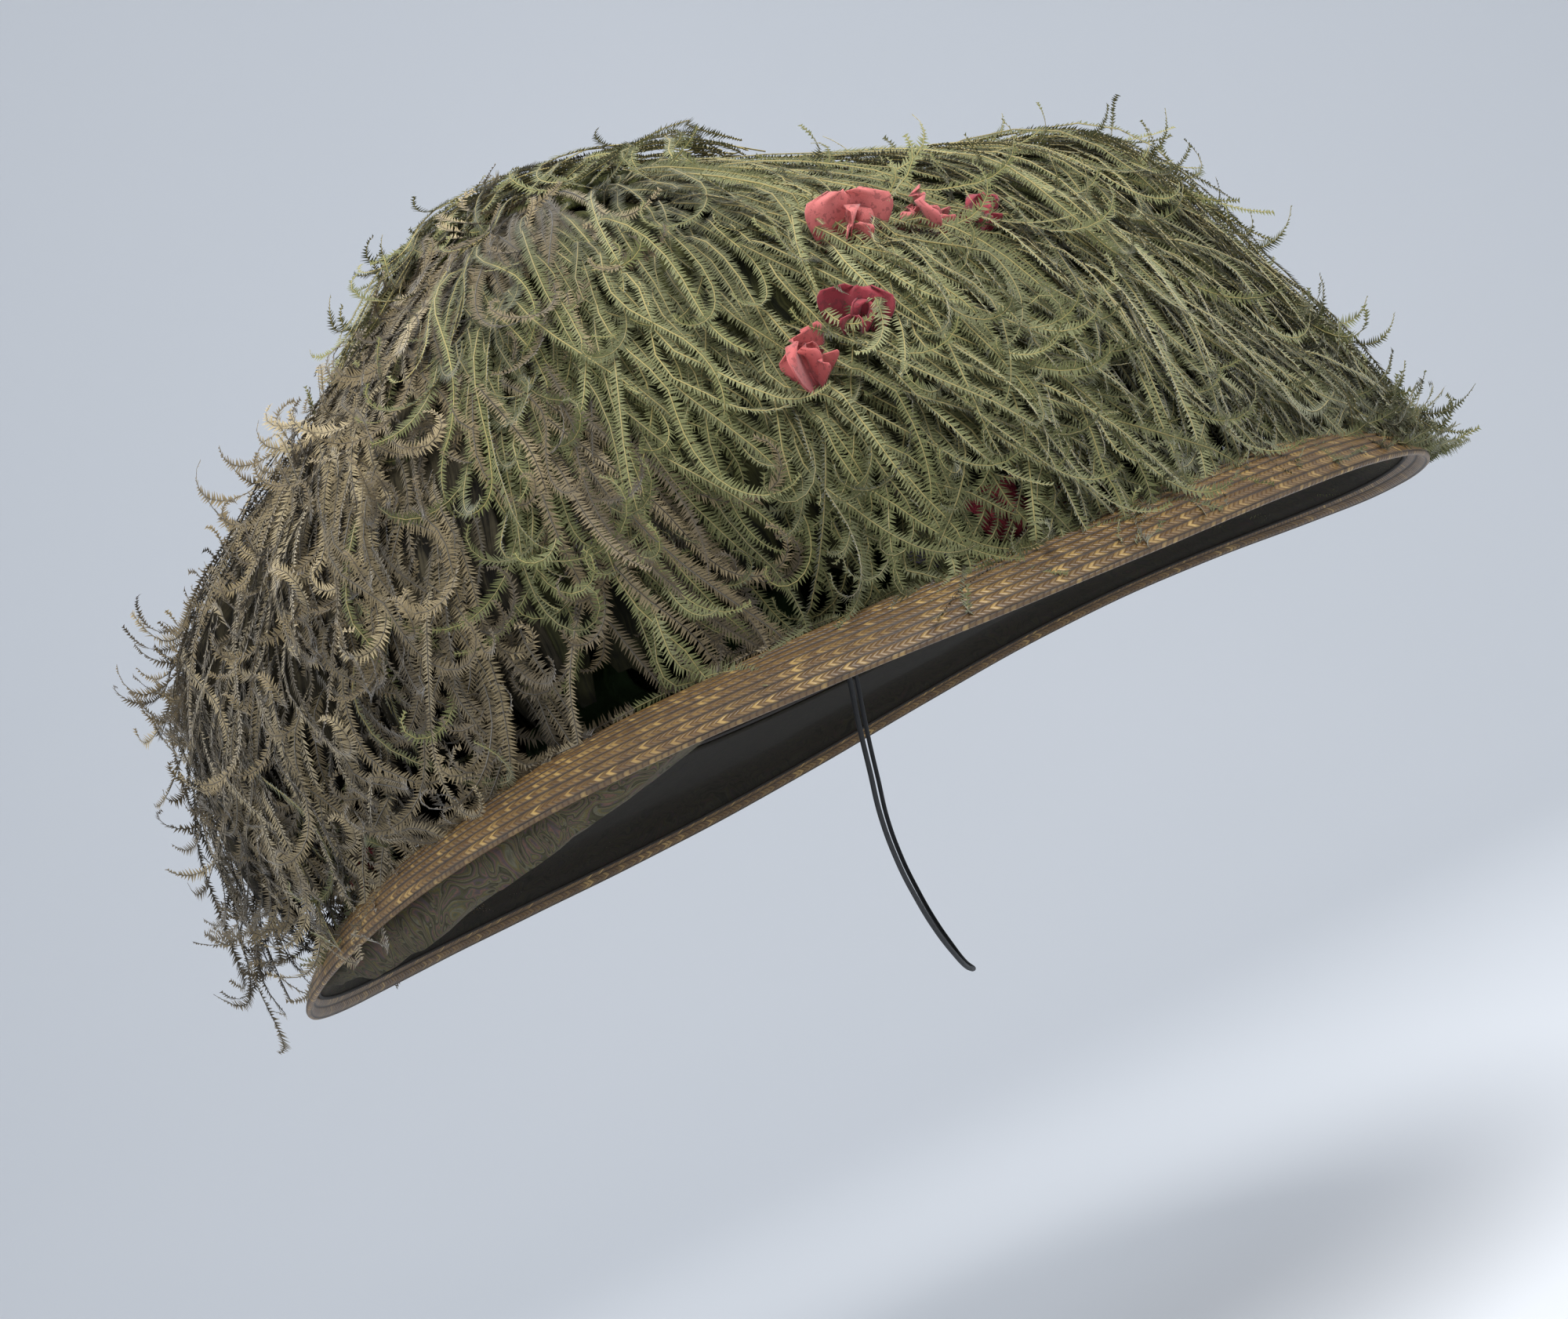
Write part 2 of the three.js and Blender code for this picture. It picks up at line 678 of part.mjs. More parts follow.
// Height of the brim's top surface over a point in plan
function brimTop(x, y) {
  let height = 0;
  let nearest = Infinity;
  for (let i = 0; i < roundSteps * 4; i += 1) {
    const azimuth = degrees((90 * i) / roundSteps);
    const reach = brimReach(azimuth);
    for (let share = 0; share <= 1; share += 0.02) {
      const at = brimPoint(azimuth, reach * share, rowLap);
      const away = Math.hypot(at.x - x, at.y - y);
      if (away < nearest) {
        nearest = away;
        height = at.z;
      }
    }
  }
  return height;
}

// The chin elastic: a whole loop from one side of the opening to the other
function chinElastic() {
  const half = openingWidth / 2 - elasticDiameter / 2 - 1.2;
  const near = elasticHalf.map(({ x, side, z }) => new THREE.Vector3(x, -half * side, z));
  const far = elasticHalf.map(({ x, side, z }) => new THREE.Vector3(x, half * side, z)).reverse();
  const route = new THREE.CatmullRomCurve3([...near, new THREE.Vector3(chin.x, 0, chin.z), ...far]);
  const section = new THREE.Shape();
  section.absarc(0, 0, elasticDiameter / 2, 0, Math.PI * 2);
  return new THREE.ExtrudeGeometry(section, {
    steps: 28,
    curveSegments: 4,
    bevelEnabled: false,
    extrudePath: route,
  });
}

const hat = new THREE.Group();
hat.add(piece("crown", straw.crown, finishes.straw));
hat.add(piece("brim", straw.brim, finishes.straw));
hat.add(piece("brim_lining", lining(), finishes.lining));
hat.add(piece("velvet_band", velvetBand(), finishes.velvet));
[
  { azimuth: 104, reachShare: 0.9 },
  { azimuth: 129, reachShare: 1 },
  { azimuth: 154, reachShare: 0.85 },
].forEach(({ azimuth, reachShare }, i) => {
  hat.add(piece(`velvet_loop_${i + 1}`, velvetLoop(degrees(azimuth), reachShare), finishes.velvet));
});
let bed;
plumes.forEach((row) => {
  const geometry = plume(row);
  hat.add(piece(row.name, geometry, material(row.name, row.colour, 0.95)));
  if (row.name === "plume_right") {
    bed = geometry;
  }
});
hat.add(piece("plume_crest", crestPlume(), material("plume_crest", 0x6f7a4c, 0.95)));
blossoms.forEach((row, i) => {
  hat.add(piece(`blossom_${i + 1}`, blossom(row, bed), material(`blossom_${i + 1}`, row.colour, 0.8)));
});
hat.add(piece("chin_elastic", chinElastic(), finishes.elastic));

export default hat;
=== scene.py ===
import math

import bpy
import numpy as np
from mathutils import Matrix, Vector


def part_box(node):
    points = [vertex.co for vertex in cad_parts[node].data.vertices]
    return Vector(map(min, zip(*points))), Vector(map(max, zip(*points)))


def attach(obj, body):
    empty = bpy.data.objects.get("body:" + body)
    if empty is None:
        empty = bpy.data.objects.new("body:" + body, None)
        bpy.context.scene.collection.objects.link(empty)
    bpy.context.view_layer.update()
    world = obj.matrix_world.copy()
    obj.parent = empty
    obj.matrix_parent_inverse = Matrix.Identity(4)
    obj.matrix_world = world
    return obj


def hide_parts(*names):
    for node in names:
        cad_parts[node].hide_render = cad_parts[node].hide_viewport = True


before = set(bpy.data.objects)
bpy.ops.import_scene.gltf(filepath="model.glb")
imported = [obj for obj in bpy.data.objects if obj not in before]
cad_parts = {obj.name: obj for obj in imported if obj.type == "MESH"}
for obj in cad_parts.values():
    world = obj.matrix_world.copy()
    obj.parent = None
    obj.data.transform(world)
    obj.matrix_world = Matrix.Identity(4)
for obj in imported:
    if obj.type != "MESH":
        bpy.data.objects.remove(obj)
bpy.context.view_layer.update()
bpy.ops.object.select_all(action="DESELECT")
scene = bpy.context.scene
mm = 0.001
full = 2 * math.pi
weldReach = 0.00002


def clearSelection():
    if bpy.context.object and bpy.context.object.mode != "OBJECT":
        bpy.ops.object.mode_set(mode="OBJECT")
    bpy.ops.object.select_all(action="DESELECT")


def gridPiece(name, across, along, place, weldAlong=False, weldAcross=False):
    # a flat grid, whose points are then laid where place(u, v) says, in mm
    clearSelection()
    bpy.ops.mesh.primitive_grid_add(x_subdivisions=across, y_subdivisions=along, size=1)
    piece = bpy.context.object
    piece.name = name
    mesh = piece.data
    flat = np.empty(len(mesh.vertices) * 3)
    mesh.vertices.foreach_get("co", flat)
    flat = flat.reshape(-1, 3)
    u = np.clip(flat[:, 0] + 0.5, 0, 1)
    v = np.clip(flat[:, 1] + 0.5, 0, 1)
    order = np.empty(len(mesh.loops), dtype=np.int64)
    mesh.loops.foreach_get("vertex_index", order)
    uv = np.column_stack([u[order], v[order]]).ravel()
    layer = mesh.uv_layers.active or mesh.uv_layers.new(name="UVMap")
    layer.data.foreach_set("uv", uv)
    mesh.vertices.foreach_set("co", (place(u, v) * mm).ravel())
    mesh.update()
    if weldAlong or weldAcross:
        bpy.ops.object.mode_set(mode="EDIT")
        bpy.ops.mesh.select_all(action="SELECT")
        bpy.ops.mesh.remove_doubles(threshold=weldReach)
        bpy.ops.mesh.normals_make_consistent(inside=False)
        bpy.ops.object.mode_set(mode="OBJECT")
    bpy.ops.object.shade_smooth()
    return piece


def remapV(piece, change):
    # alters v of the piece's map, and leaves u
    layer = piece.data.uv_layers.active.data
    uv = np.empty(len(layer) * 2)
    layer.foreach_get("uv", uv)
    uv = uv.reshape(-1, 2)
    uv[:, 1] = change(uv[:, 1])
    layer.foreach_set("uv", uv.ravel())


def applied(piece, kind, **settings):
    clearSelection()
    bpy.context.view_layer.objects.active = piece
    piece.select_set(True)
    step = piece.modifiers.new(kind.lower(), kind)
    for key, value in settings.items():
        setattr(step, key, value)
    bpy.ops.object.modifier_apply(modifier=step.name)


class Shader:
    # builds a node material a step at a time
    def __init__(self, name):
        self.material = bpy.data.materials.new(name)
        self.material.use_nodes = True
        self.tree = self.material.node_tree
        self.surface = self.tree.nodes["Principled BSDF"]

    def node(self, kind, **sockets):
        made = self.tree.nodes.new(kind)
        for key, value in sockets.items():
            self.put(made.inputs[key.replace("_", " ")], value)
        return made

    def put(self, socket, value):
        if isinstance(value, bpy.types.NodeSocket):
            self.tree.links.new(value, socket)
        else:
            socket.default_value = value

    def math(self, operation, a, b=0.0, c=0.0):
        made = self.tree.nodes.new("ShaderNodeMath")
        made.operation = operation
        for socket, value in zip(made.inputs, (a, b, c)):
            self.put(socket, value)
        return made.outputs[0]

    def mix(self, share, a, b, blend="MIX"):
        made = self.tree.nodes.new("ShaderNodeMix")
        made.data_type = "RGBA"
        made.blend_type = blend
        self.put(made.inputs[0], share)
        self.put(made.inputs[6], a)
        self.put(made.inputs[7], b)
        return made.outputs[2]

    def ramp(self, value, stops, how="LINEAR"):
        made = self.tree.nodes.new("ShaderNodeValToRGB")
        made.color_ramp.interpolation = how
        marks = made.color_ramp.elements
        while len(marks) < len(stops):
            marks.new(0.5)
        for mark, (at, colour) in zip(marks, stops):
            mark.position = at
            mark.color = colour
        self.put(made.inputs[0], value)
        return made.outputs[0]

    def noise(self, where, scale, detail=3.0, roughness=0.5, distortion=0.0):
        made = self.node(
            "ShaderNodeTexNoise",
            Scale=scale,
            Detail=detail,
            Roughness=roughness,
            Distortion=distortion,
        )
        self.put(made.inputs["Vector"], where)
        return made

    def bump(self, height, strength, distance):
        made = self.node("ShaderNodeBump", Strength=strength, Distance=distance, Height=height)
        return made.outputs[0]

    def place(self):
        return self.tree.nodes.new("ShaderNodeTexCoord").outputs["Object"]

    def uv(self):
        return self.tree.nodes.new("ShaderNodeUVMap").outputs[0]

    def barbTone(self):
        mark = self.tree.nodes.new("ShaderNodeVertexColor")
        mark.layer_name = "barbTone"
        return mark

    def finish(self, colour, roughness=0.6, normal=None, **fixed):
        self.put(self.surface.inputs["Base Color"], colour)
        self.put(self.surface.inputs["Roughness"], roughness)
        if normal is not None:
            self.put(self.surface.inputs["Normal"], normal)
        for key, value in fixed.items():
            self.surface.inputs[key.replace("_", " ")].default_value = value
        return self.material


def rgb(red, green, blue):
    # a colour as read off a screen, made linear
    share = [c / 255 for c in (red, green, blue)]
    linear = [c / 12.92 if c <= 0.04045 else ((c + 0.055) / 1.055) ** 2.4 for c in share]
    return (*linear, 1.0)


def dress(piece, material, body="root"):
    piece.data.materials.clear()
    piece.data.materials.append(material)
    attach(piece, body)


view = {
    "place": (-0.016, -0.965, -0.0767),
    "right": (0.89409, 0.05852, -0.44404),
    "up": (0.44741, -0.07108, 0.8915),
    "ahead": (-0.02061, 0.99575, 0.08973),
    "lens": 54,
}
bpy.ops.object.camera_add()
camera = bpy.context.object
columns = [view["right"], view["up"], [-c for c in view["ahead"]]]
turn = Matrix([[columns[j][i] for j in range(3)] for i in range(3)]).to_4x4()
camera.matrix_world = Matrix.Translation(view["place"]) @ turn
camera.data.lens = view["lens"]
camera.data.sensor_width = 36
scene.camera = camera

stage = {"floor": -0.335, "reach": 2.6, "back": 1.5, "bend": 1.3, "height": 3.4, "glow": 0.66}


def stagePoint(u, v):
    # a floor that bends up into the backdrop
    x = (u - 0.5) * 2 * stage["reach"]
    flat = stage["back"] + stage["reach"]
    arc = stage["bend"] * math.pi / 2
    run = v * (flat + arc + stage["height"])
    turned = np.clip((run - flat) / stage["bend"], 0, math.pi / 2)
    y = -stage["reach"] + np.minimum(run, flat) + stage["bend"] * np.sin(turned)
    z = stage["floor"] + stage["bend"] * (1 - np.cos(turned)) + np.clip(run - flat - arc, 0, None)
    return np.column_stack([x, y, z]) / mm


floor = gridPiece("floor", 8, 60, stagePoint)
paint = Shader("floorPaint")
paintDrift = paint.noise(paint.place(), 1.2, 2.0).outputs[0]
paint.finish(paint.mix(paintDrift, rgb(228, 231, 235), rgb(234, 236, 240)), 0.85)
floor.data.materials.append(paint.material)

world = bpy.data.worlds.new("softRoom")
scene.world = world
world.use_nodes = True
glow = world.node_tree.nodes["Background"]
glow.inputs[0].default_value = rgb(218, 225, 234)
glow.inputs[1].default_value = stage["glow"]
scene.view_settings.view_transform = "Standard"

lamps = [
    {"name": "key", "at": (0.45, -1.0, 1.25), "size": 0.8, "power": 27},
    {"name": "left", "at": (-1.3, -0.7, 0.6), "size": 1.0, "power": 8},
    {"name": "right", "at": (1.25, -0.4, 0.7), "size": 0.8, "power": 4.5},
    {"name": "low", "at": (-0.5, -1.2, -0.25), "size": 0.7, "power": 1.5},
]
for lamp in lamps:
    bpy.ops.object.light_add(type="AREA", location=lamp["at"])
    lit = bpy.context.object
    lit.name = lamp["name"]
    lit.data.size = lamp["size"]
    lit.data.energy = lamp["power"]
    aim = -lit.location.normalized()
    lit.rotation_euler = aim.to_track_quat("-Z", "Y").to_euler()
print("camera, light and floor are set")


elastic = {"diameter": 2.0, "halfWidth": 86.8}
elasticRoute = [
    # x, share of the half width, z
    (-10, 0.995, 8),
    (-12, 1, -2),
    (-16, 1, -17),
    (-20, 1, -32),
    (-24, 0.985, -49),
    (-28, 0.95, -66),
    (-30, 0.885, -84),
    (-30, 0.77, -100),
    (-29, 0.61, -114),
    (-27, 0.41, -126),
    (-25, 0.2, -134),
    (-23, 0, -137),
]


def elasticCurve():
    half = [np.array((x, -side * elastic["halfWidth"], z)) for x, side, z in elasticRoute]
    points = half + [p * (1, -1, 1) for p in half[-2::-1]]
    clearSelection()
    bpy.ops.curve.primitive_bezier_curve_add()
    cord = bpy.context.object
    cord.name = "chinElastic"
    cord.data.splines.clear()
    line = cord.data.splines.new("BEZIER")
    line.bezier_points.add(len(points) - 1)
    for knot, point in zip(line.bezier_points, points):
        knot.co = [float(c) * mm for c in point]
        knot.handle_left_type = knot.handle_right_type = "AUTO"
    cord.data.dimensions = "3D"
    cord.data.resolution_u = 8
    cord.data.bevel_depth = elastic["diameter"] / 2 * mm
    cord.data.bevel_resolution = 3
    cord.data.use_fill_caps = True
    length = sum(float(np.linalg.norm(b - a)) for a, b in zip(points, points[1:]))
    return cord, points, length * 1.004 * mm


chinElastic, elasticPoints, elasticLength = elasticCurve()
cordShade = Shader("elasticBraid")
braid = cordShade.noise(cordShade.place(), 2600, 2.0).outputs[0]
black = cordShade.mix(braid, rgb(14, 15, 17), rgb(38, 40, 44))
chinElastic.data.materials.append(cordShade.finish(black, 0.6, cordShade.bump(braid, 0.5, 0.0002)))
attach(chinElastic, "root")
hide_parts("chin_elastic")
print("elastic is strung")


brim = {
    "openingLength": 200,
    "openingWidth": 178,
    "length": 500,
    "width": 444,
    "setBack": 20,
    "drop": 28,
    "turnRadius": 47,
    "edgeSlope": math.radians(58),
    "straw": 2.2,
    "gap": 0.3,
    "rowPitch": 4.3,
    "shownRows": 10,
    "hiddenRows": 26,
    "round": 200,
    "plait": 2.3,
    "plaitLength": 1485.0,  # once round the rim
}
hiddenFrom, atWall = 1000, 2000  # marks in the cut: past the shown rows, and at the crown's wall
rimWaves = [(2, -7, -4), (4, -1.6, 2.4)]  # turns, rise and twist


def rimRise(azimuth):
    return sum(rise * np.cos(n * azimuth) + twist * np.sin(n * azimuth) for n, rise, twist in rimWaves)


def brimEnds(azimuth):
    pad = brim["straw"] + brim["gap"]
    c, s = np.cos(azimuth), np.sin(azimuth)
    inner = np.stack([(brim["openingLength"] / 2 + pad) * c, -(brim["openingWidth"] / 2 + pad) * s], -1)
    outer = np.stack([-brim["setBack"] + brim["length"] / 2 * c, -brim["width"] / 2 * s], -1)
    return inner, outer, np.linalg.norm(outer - inner, axis=-1)


def brimReach(azimuth):
    return brimEnds(azimuth)[2] + brim["turnRadius"] * (brim["edgeSlope"] - math.sin(brim["edgeSlope"]))


def brimPoint(azimuth, fromRim, proud):
    # a point on the brim's top, so far in from the rim, raised by "proud"
    inner, outer, width = brimEnds(azimuth)
    radius, edge = brim["turnRadius"], brim["edgeSlope"]
    flatDrop = brim["drop"] - radius * (1 - math.cos(edge))
    flatWidth = width - radius * math.sin(edge)
    turned = radius * edge
    bending = fromRim < turned
    slope = np.where(bending, edge - fromRim / radius, np.arctan2(flatDrop, flatWidth))
    across = np.where(bending, flatWidth + radius * np.sin(slope), flatWidth - (fromRim - turned))
    height = np.where(bending, -flatDrop - radius * (1 - np.cos(slope)), -flatDrop * across / flatWidth)
    across = across + proud * np.sin(slope)
    height = height + proud * np.cos(slope) + rimRise(azimuth) * (across / width) ** 2
    share = (across / width)[..., None]
    plan = inner * (1 - share) + outer * share
    return np.concatenate([plan, height[..., None]], -1)


def strawSection():
    # round one cut: mm in from the rim, or hiddenFrom plus a share of the rest, and the height
    cut = []
    for row in range(brim["shownRows"]):
        for t in (0.0, 0.1, 0.3, 0.5, 0.7, 0.92):
            crowned = 0.62 * math.sin(math.pi * (0.06 + 0.9 * t)) ** 0.7
            cut.append(((row + t) * brim["rowPitch"], crowned + 0.25 * (1 - t)))
    first = brim["shownRows"] * brim["rowPitch"]
    for row in range(brim["hiddenRows"]):
        for t in (0.0, 0.5):
            cut.append((hiddenFrom + (row + t) / brim["hiddenRows"], 0.7 * t + 0.1))
    cut.append((atWall, 0.2))
    cut.append((atWall, -brim["straw"]))
    for share in (0.8, 0.6, 0.4, 0.2):
        cut.append((hiddenFrom + share, -brim["straw"]))
    for row in range(brim["shownRows"] - 1, -1, -1):
        cut.append(((row + 0.9) * brim["rowPitch"], -brim["straw"] + 0.35))
        cut.append(((row + 0.45) * brim["rowPitch"], -brim["straw"] - 0.1))
    cut.append((-0.5, -brim["straw"] * 0.75))
    cut.append((-0.9, -brim["straw"] * 0.3))
    cut.append((-0.5, 0.1))
    cut.append((0.0, cut[0][1]))
    return cut, first


strawCut, lastShown = strawSection()


def strawPoint(u, v):
    azimuth = u * full
    index = np.rint(v * (len(strawCut) - 1)).astype(int)
    table = np.array(strawCut)[index]
    reach = brimReach(azimuth)
    mark = table[:, 0]
    inner = lastShown + (mark - hiddenFrom) * (reach - lastShown)
    fromRim = np.where(mark >= atWall, reach, np.where(mark >= hiddenFrom, inner, mark))
    wobble = 0.25 * np.sin(azimuth * 23 + index * 0.9) * (mark < hiddenFrom)
    return brimPoint(azimuth, fromRim, table[:, 1] + wobble * 0.4)


strawBrim = gridPiece("strawBrim", brim["round"], len(strawCut) - 1, strawPoint, True, True)
# the plait's map: u runs once round the rim, v counts the rows in from it, in hundredths
cutRows = np.array([c[0] for c in strawCut])
rowAt = np.where(
    cutRows >= hiddenFrom,
    brim["shownRows"] + np.clip(cutRows - hiddenFrom, 0, 1) * brim["hiddenRows"],
    cutRows / brim["rowPitch"],
)
remapV(strawBrim, lambda v: rowAt[np.rint(v * (len(strawCut) - 1)).astype(int)] / 100)


def strawShade(name, lengthAcross):
    s = Shader(name)
    split = s.node("ShaderNodeSeparateXYZ", Vector=s.uv())
    along = s.math("MULTIPLY", split.outputs[0], lengthAcross / brim["plait"])
    row = s.math("MULTIPLY", split.outputs[1], 100.0)
    across = s.math("FRACT", row)
    number = s.math("FLOOR", row)
    shift = s.math("MULTIPLY", s.math("SINE", s.math("MULTIPLY", number, 12.9)), 3.7)
    fold = s.math("ABSOLUTE", s.math("SUBTRACT", across, 0.5))
    slant = s.math("ADD", s.math("ADD", along, shift), s.math("MULTIPLY", fold, 2.2))
    strand = s.math("FRACT", slant)
    strandNumber = s.math("FLOOR", slant)
    arch = s.math("POWER", s.math("SINE", s.math("MULTIPLY", strand, math.pi)), 0.5)
    seam = s.math("MINIMUM", s.math("MULTIPLY", s.math("SUBTRACT", 0.5, fold), 5.5), 1.0)
    height = s.math("MULTIPLY", arch, seam)
    seed = s.node("ShaderNodeCombineXYZ", X=strandNumber, Y=number, Z=0.0)
    tone = s.node("ShaderNodeTexWhiteNoise", Vector=seed.outputs[0])
    body = s.ramp(
        tone.outputs[0],
        [
            (0.0, rgb(66, 50, 22)),
            (0.4, rgb(90, 70, 33)),
            (0.8, rgb(112, 89, 46)),
            (1.0, rgb(166, 138, 80)),
        ],
    )
    grime = s.noise(s.place(), 46, 3.0).outputs[0]
    body = s.mix(s.math("MULTIPLY", grime, 0.5), body, rgb(118, 84, 46))
    # the grooves between strands are painted darker and the joints between rows near-black, as painted
    # shade in these recesses
    groove = s.mix(arch, rgb(82, 54, 26), body)
    colour = s.mix(s.math("POWER", seam, 0.8), rgb(22, 14, 7), groove)
    return s.finish(
        colour,
        s.math("SUBTRACT", 0.6, s.math("MULTIPLY", height, 0.2)),
        s.bump(height, 0.8, 0.0006),
        Specular_IOR_Level=0.5,
        Coat_Weight=0.12,
        Coat_Roughness=0.35,
    )


dress(strawBrim, strawShade("strawPlait", brim["plaitLength"]))
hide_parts("brim")
print("brim is sewn")


crown = {"height": 122, "squareness": 2.8, "rows": 40, "round": 96, "plaitLength": 600.0}


def crownShare(height):
    level = np.clip(height / crown["height"], 0, 1)
    return (1 - level ** crown["squareness"]) ** (1 / crown["squareness"])


def crownPoint(u, v):
    # v 0 to 0.5 is the outside from the top down, then the inside back up
    azimuth = u * full
    outside = v <= 0.5
    lean = np.where(outside, v * 2, (1 - v) * 2) * math.pi / 2
    power = 2 / crown["squareness"]
    level = np.abs(np.cos(lean)) ** power
    share = np.where(lean < 1e-9, 0, (1 - level ** crown["squareness"]) ** (1 / crown["squareness"]))
    share = np.where(np.isclose(lean, math.pi / 2), 1.0, share)
    rows = 0.35 * np.abs(np.sin(lean / (math.pi / 2) * crown["rows"] / 2 * math.pi))
    wall = np.where(outside, brim["straw"] + rows, 0.0)
    top = np.where(outside, crown["height"] + rows * 0.5, crown["height"] - brim["straw"])
    half = brim["openingLength"] / 2 + wall, brim["openingWidth"] / 2 + wall
    return np.column_stack(
        [half[0] * share * np.cos(azimuth), -half[1] * share * np.sin(azimuth), level * top]
    )


strawCrown = gridPiece("strawCrown", crown["round"], crown["rows"] * 2 + 1, crownPoint, True, True)
remapV(strawCrown, lambda v: v * crown["rows"] / 50)
dress(strawCrown, strawShade("strawCrownPlait", crown["plaitLength"]))
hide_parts("crown")
print("crown is sewn")


lining = {
    "edge": 9,
    "sag": 24,
    "slackMiddle": math.radians(132),
    "slackHalf": math.radians(52),
    "cloth": 0.0008,
    "across": 260,
    "down": 16,
    "bindingRadius": 0.8,
}


def liningPoint(u, v):
    azimuth = u * full
    reach = brimReach(azimuth)
    fromRim = lining["edge"] + v * (reach - lining["edge"])
    away = np.minimum(1, np.abs(azimuth - lining["slackMiddle"]) / lining["slackHalf"])
    slack = lining["sag"] * np.cos(away * math.pi / 2) ** 2
    swell = np.sin(math.pi * v**0.36)
    ripple = (
        2.2 * np.sin(azimuth * 13 + 0.6)
        + 1.5 * np.sin(azimuth * 29 + 2.1 + v * 5)
        + 0.8 * np.sin(azimuth * 61 + v * 9)
    )
    hang = slack * swell + (0.25 + slack / lining["sag"]) * (ripple + 2.6) * 0.55 * swell
    point = brimPoint(azimuth, fromRim, np.full_like(u, -brim["straw"] - brim["gap"] - 0.15))
    point[:, 2] -= np.clip(hang, 0, None)
    return point


clothLining = gridPiece("clothLining", lining["across"], lining["down"], liningPoint, True)
applied(clothLining, "SOLIDIFY", thickness=lining["cloth"], offset=0, use_rim=True)


def liningShade():
    s = Shader("swirlCloth")
    where = s.place()
    drift = s.noise(where, 30, 2.0, 0.5)
    moved = s.node("ShaderNodeVectorMath")
    moved.operation = "MULTIPLY_ADD"
    s.put(moved.inputs[0], drift.outputs[1])
    moved.inputs[1].default_value = (0.05, 0.05, 0.05)
    s.put(moved.inputs[2], where)
    swirl = s.noise(moved.outputs[0], 90, 1.5, 0.45, 0.9)
    bands = s.math("FRACT", s.math("MULTIPLY", swirl.outputs[0], 8.0))
    hue = s.ramp(
        bands,
        [
            (0.0, rgb(62, 62, 48)),
            (0.14, rgb(128, 126, 108)),
            (0.3, rgb(128, 118, 74)),
            (0.44, rgb(96, 100, 86)),
            (0.56, rgb(142, 108, 96)),
            (0.7, rgb(104, 92, 100)),
            (0.84, rgb(88, 90, 66)),
            (1.0, rgb(64, 62, 52)),
        ],
        "EASE",
    )
    hue = s.mix(0.55, hue, rgb(40, 35, 24))
    fine = s.noise(moved.outputs[0], 320, 2.0, 0.5, 1.5)
    line = s.math("FRACT", s.math("MULTIPLY", fine.outputs[0], 6.0))
    colour = s.mix(s.math("MULTIPLY", s.math("GREATER_THAN", line, 0.62), 0.45), hue, rgb(72, 66, 48))
    weave = s.noise(where, 2400, 1.0)
    colour = s.mix(0.25, colour, weave.outputs[1], "MULTIPLY")
    # the far side is painted a dull dark: painted shade on the underside that lies away from the light
    side = s.node("ShaderNodeSeparateXYZ", Vector=where)
    far = s.math("MULTIPLY", s.math("ADD", side.outputs[1], 0.16), 5.0)
    far = s.math("MAXIMUM", s.math("MINIMUM", far, 1.0), 0.0)
    colour = s.mix(s.math("MULTIPLY", far, 0.85), colour, rgb(16, 13, 9))
    return s.finish(colour, 0.9, s.bump(weave.outputs[0], 0.4, 0.0003), Specular_IOR_Level=0.15)


dress(clothLining, liningShade())
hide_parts("brim_lining")


# a dark binding cord between the lining and the straw
def bindingPoint(u, v):
    azimuth = u * full
    fromRim = np.full_like(u, lining["edge"] - 0.9)
    ring = brimPoint(azimuth, fromRim, np.full_like(u, -brim["straw"] - 0.7))
    around = v * full
    ring[:, 2] += lining["bindingRadius"] * np.sin(around)
    outward = lining["bindingRadius"] * np.cos(around)
    ring[:, 0] += outward * np.cos(azimuth)
    ring[:, 1] -= outward * np.sin(azimuth)
    return ring


liningBinding = gridPiece("liningBinding", 240, 8, bindingPoint, True, True)
bindShade = Shader("bindingThread")
bindTwist = bindShade.noise(bindShade.place(), 900).outputs[0]
dress(
    liningBinding,
    bindShade.finish(bindShade.mix(bindTwist, rgb(14, 13, 12), rgb(44, 38, 30)), 0.8),
)
print("lining is in")


velvet = {
    "bandHeight": 44,
    "bandThickness": 6,
    "folds": 3,
    "loopWidth": 40,
    "loopLength": 100,
    "loopReach": 46,
    "cloth": 0.0014,
}


def crownSide(azimuth, height, proud):
    share = crownShare(height)
    reachX = (brim["openingLength"] / 2 + brim["straw"]) * share + proud
    reachY = (brim["openingWidth"] / 2 + brim["straw"]) * share + proud
    return np.stack([reachX * np.cos(azimuth), -reachY * np.sin(azimuth), height], -1)


def bandPoint(u, v):
    azimuth = u * full
    turned = v < 0.8
    rise = np.where(turned, v / 0.8, (1 - v) / 0.2)
    folds = np.abs(np.sin(rise * velvet["folds"] * math.pi + 0.35 * np.sin(azimuth * 3)))
    proud = np.where(turned, 1.6 + (velvet["bandThickness"] - 1.6) * folds**0.6, 0.8)
    ends = np.clip(np.minimum(rise, 1 - rise) * 12, 0, 1)
    proud = 0.8 + (proud - 0.8) * ends
    return crownSide(azimuth, 1.2 + rise * velvet["bandHeight"], proud)


velvetBand = gridPiece("velvetBand", 120, 40, bandPoint, True, True)


def velvetShade():
    s = Shader("mossVelvet")
    nap = s.noise(s.place(), 900, 3.0, 0.6)
    drift = s.noise(s.place(), 28, 2.0)
    colour = s.mix(drift.outputs[0], rgb(14, 36, 10), rgb(48, 74, 30))
    return s.finish(
        colour,
        0.85,
        s.bump(nap.outputs[0], 0.5, 0.0004),
        Sheen_Weight=0.7,
        Sheen_Roughness=0.35,
        Sheen_Tint=rgb(92, 122, 60),
    )


velvetFinish = velvetShade()
dress(velvetBand, velvetFinish)
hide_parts("velvet_band")

loops = [
    # node, azimuth, reach, tilt of the loop's far end
    ("velvet_loop_1", 104, 0.9, 0),
    ("velvet_loop_2", 129, 1.1, 3),
    ("velvet_loop_3", 154, 0.85, 0),
]


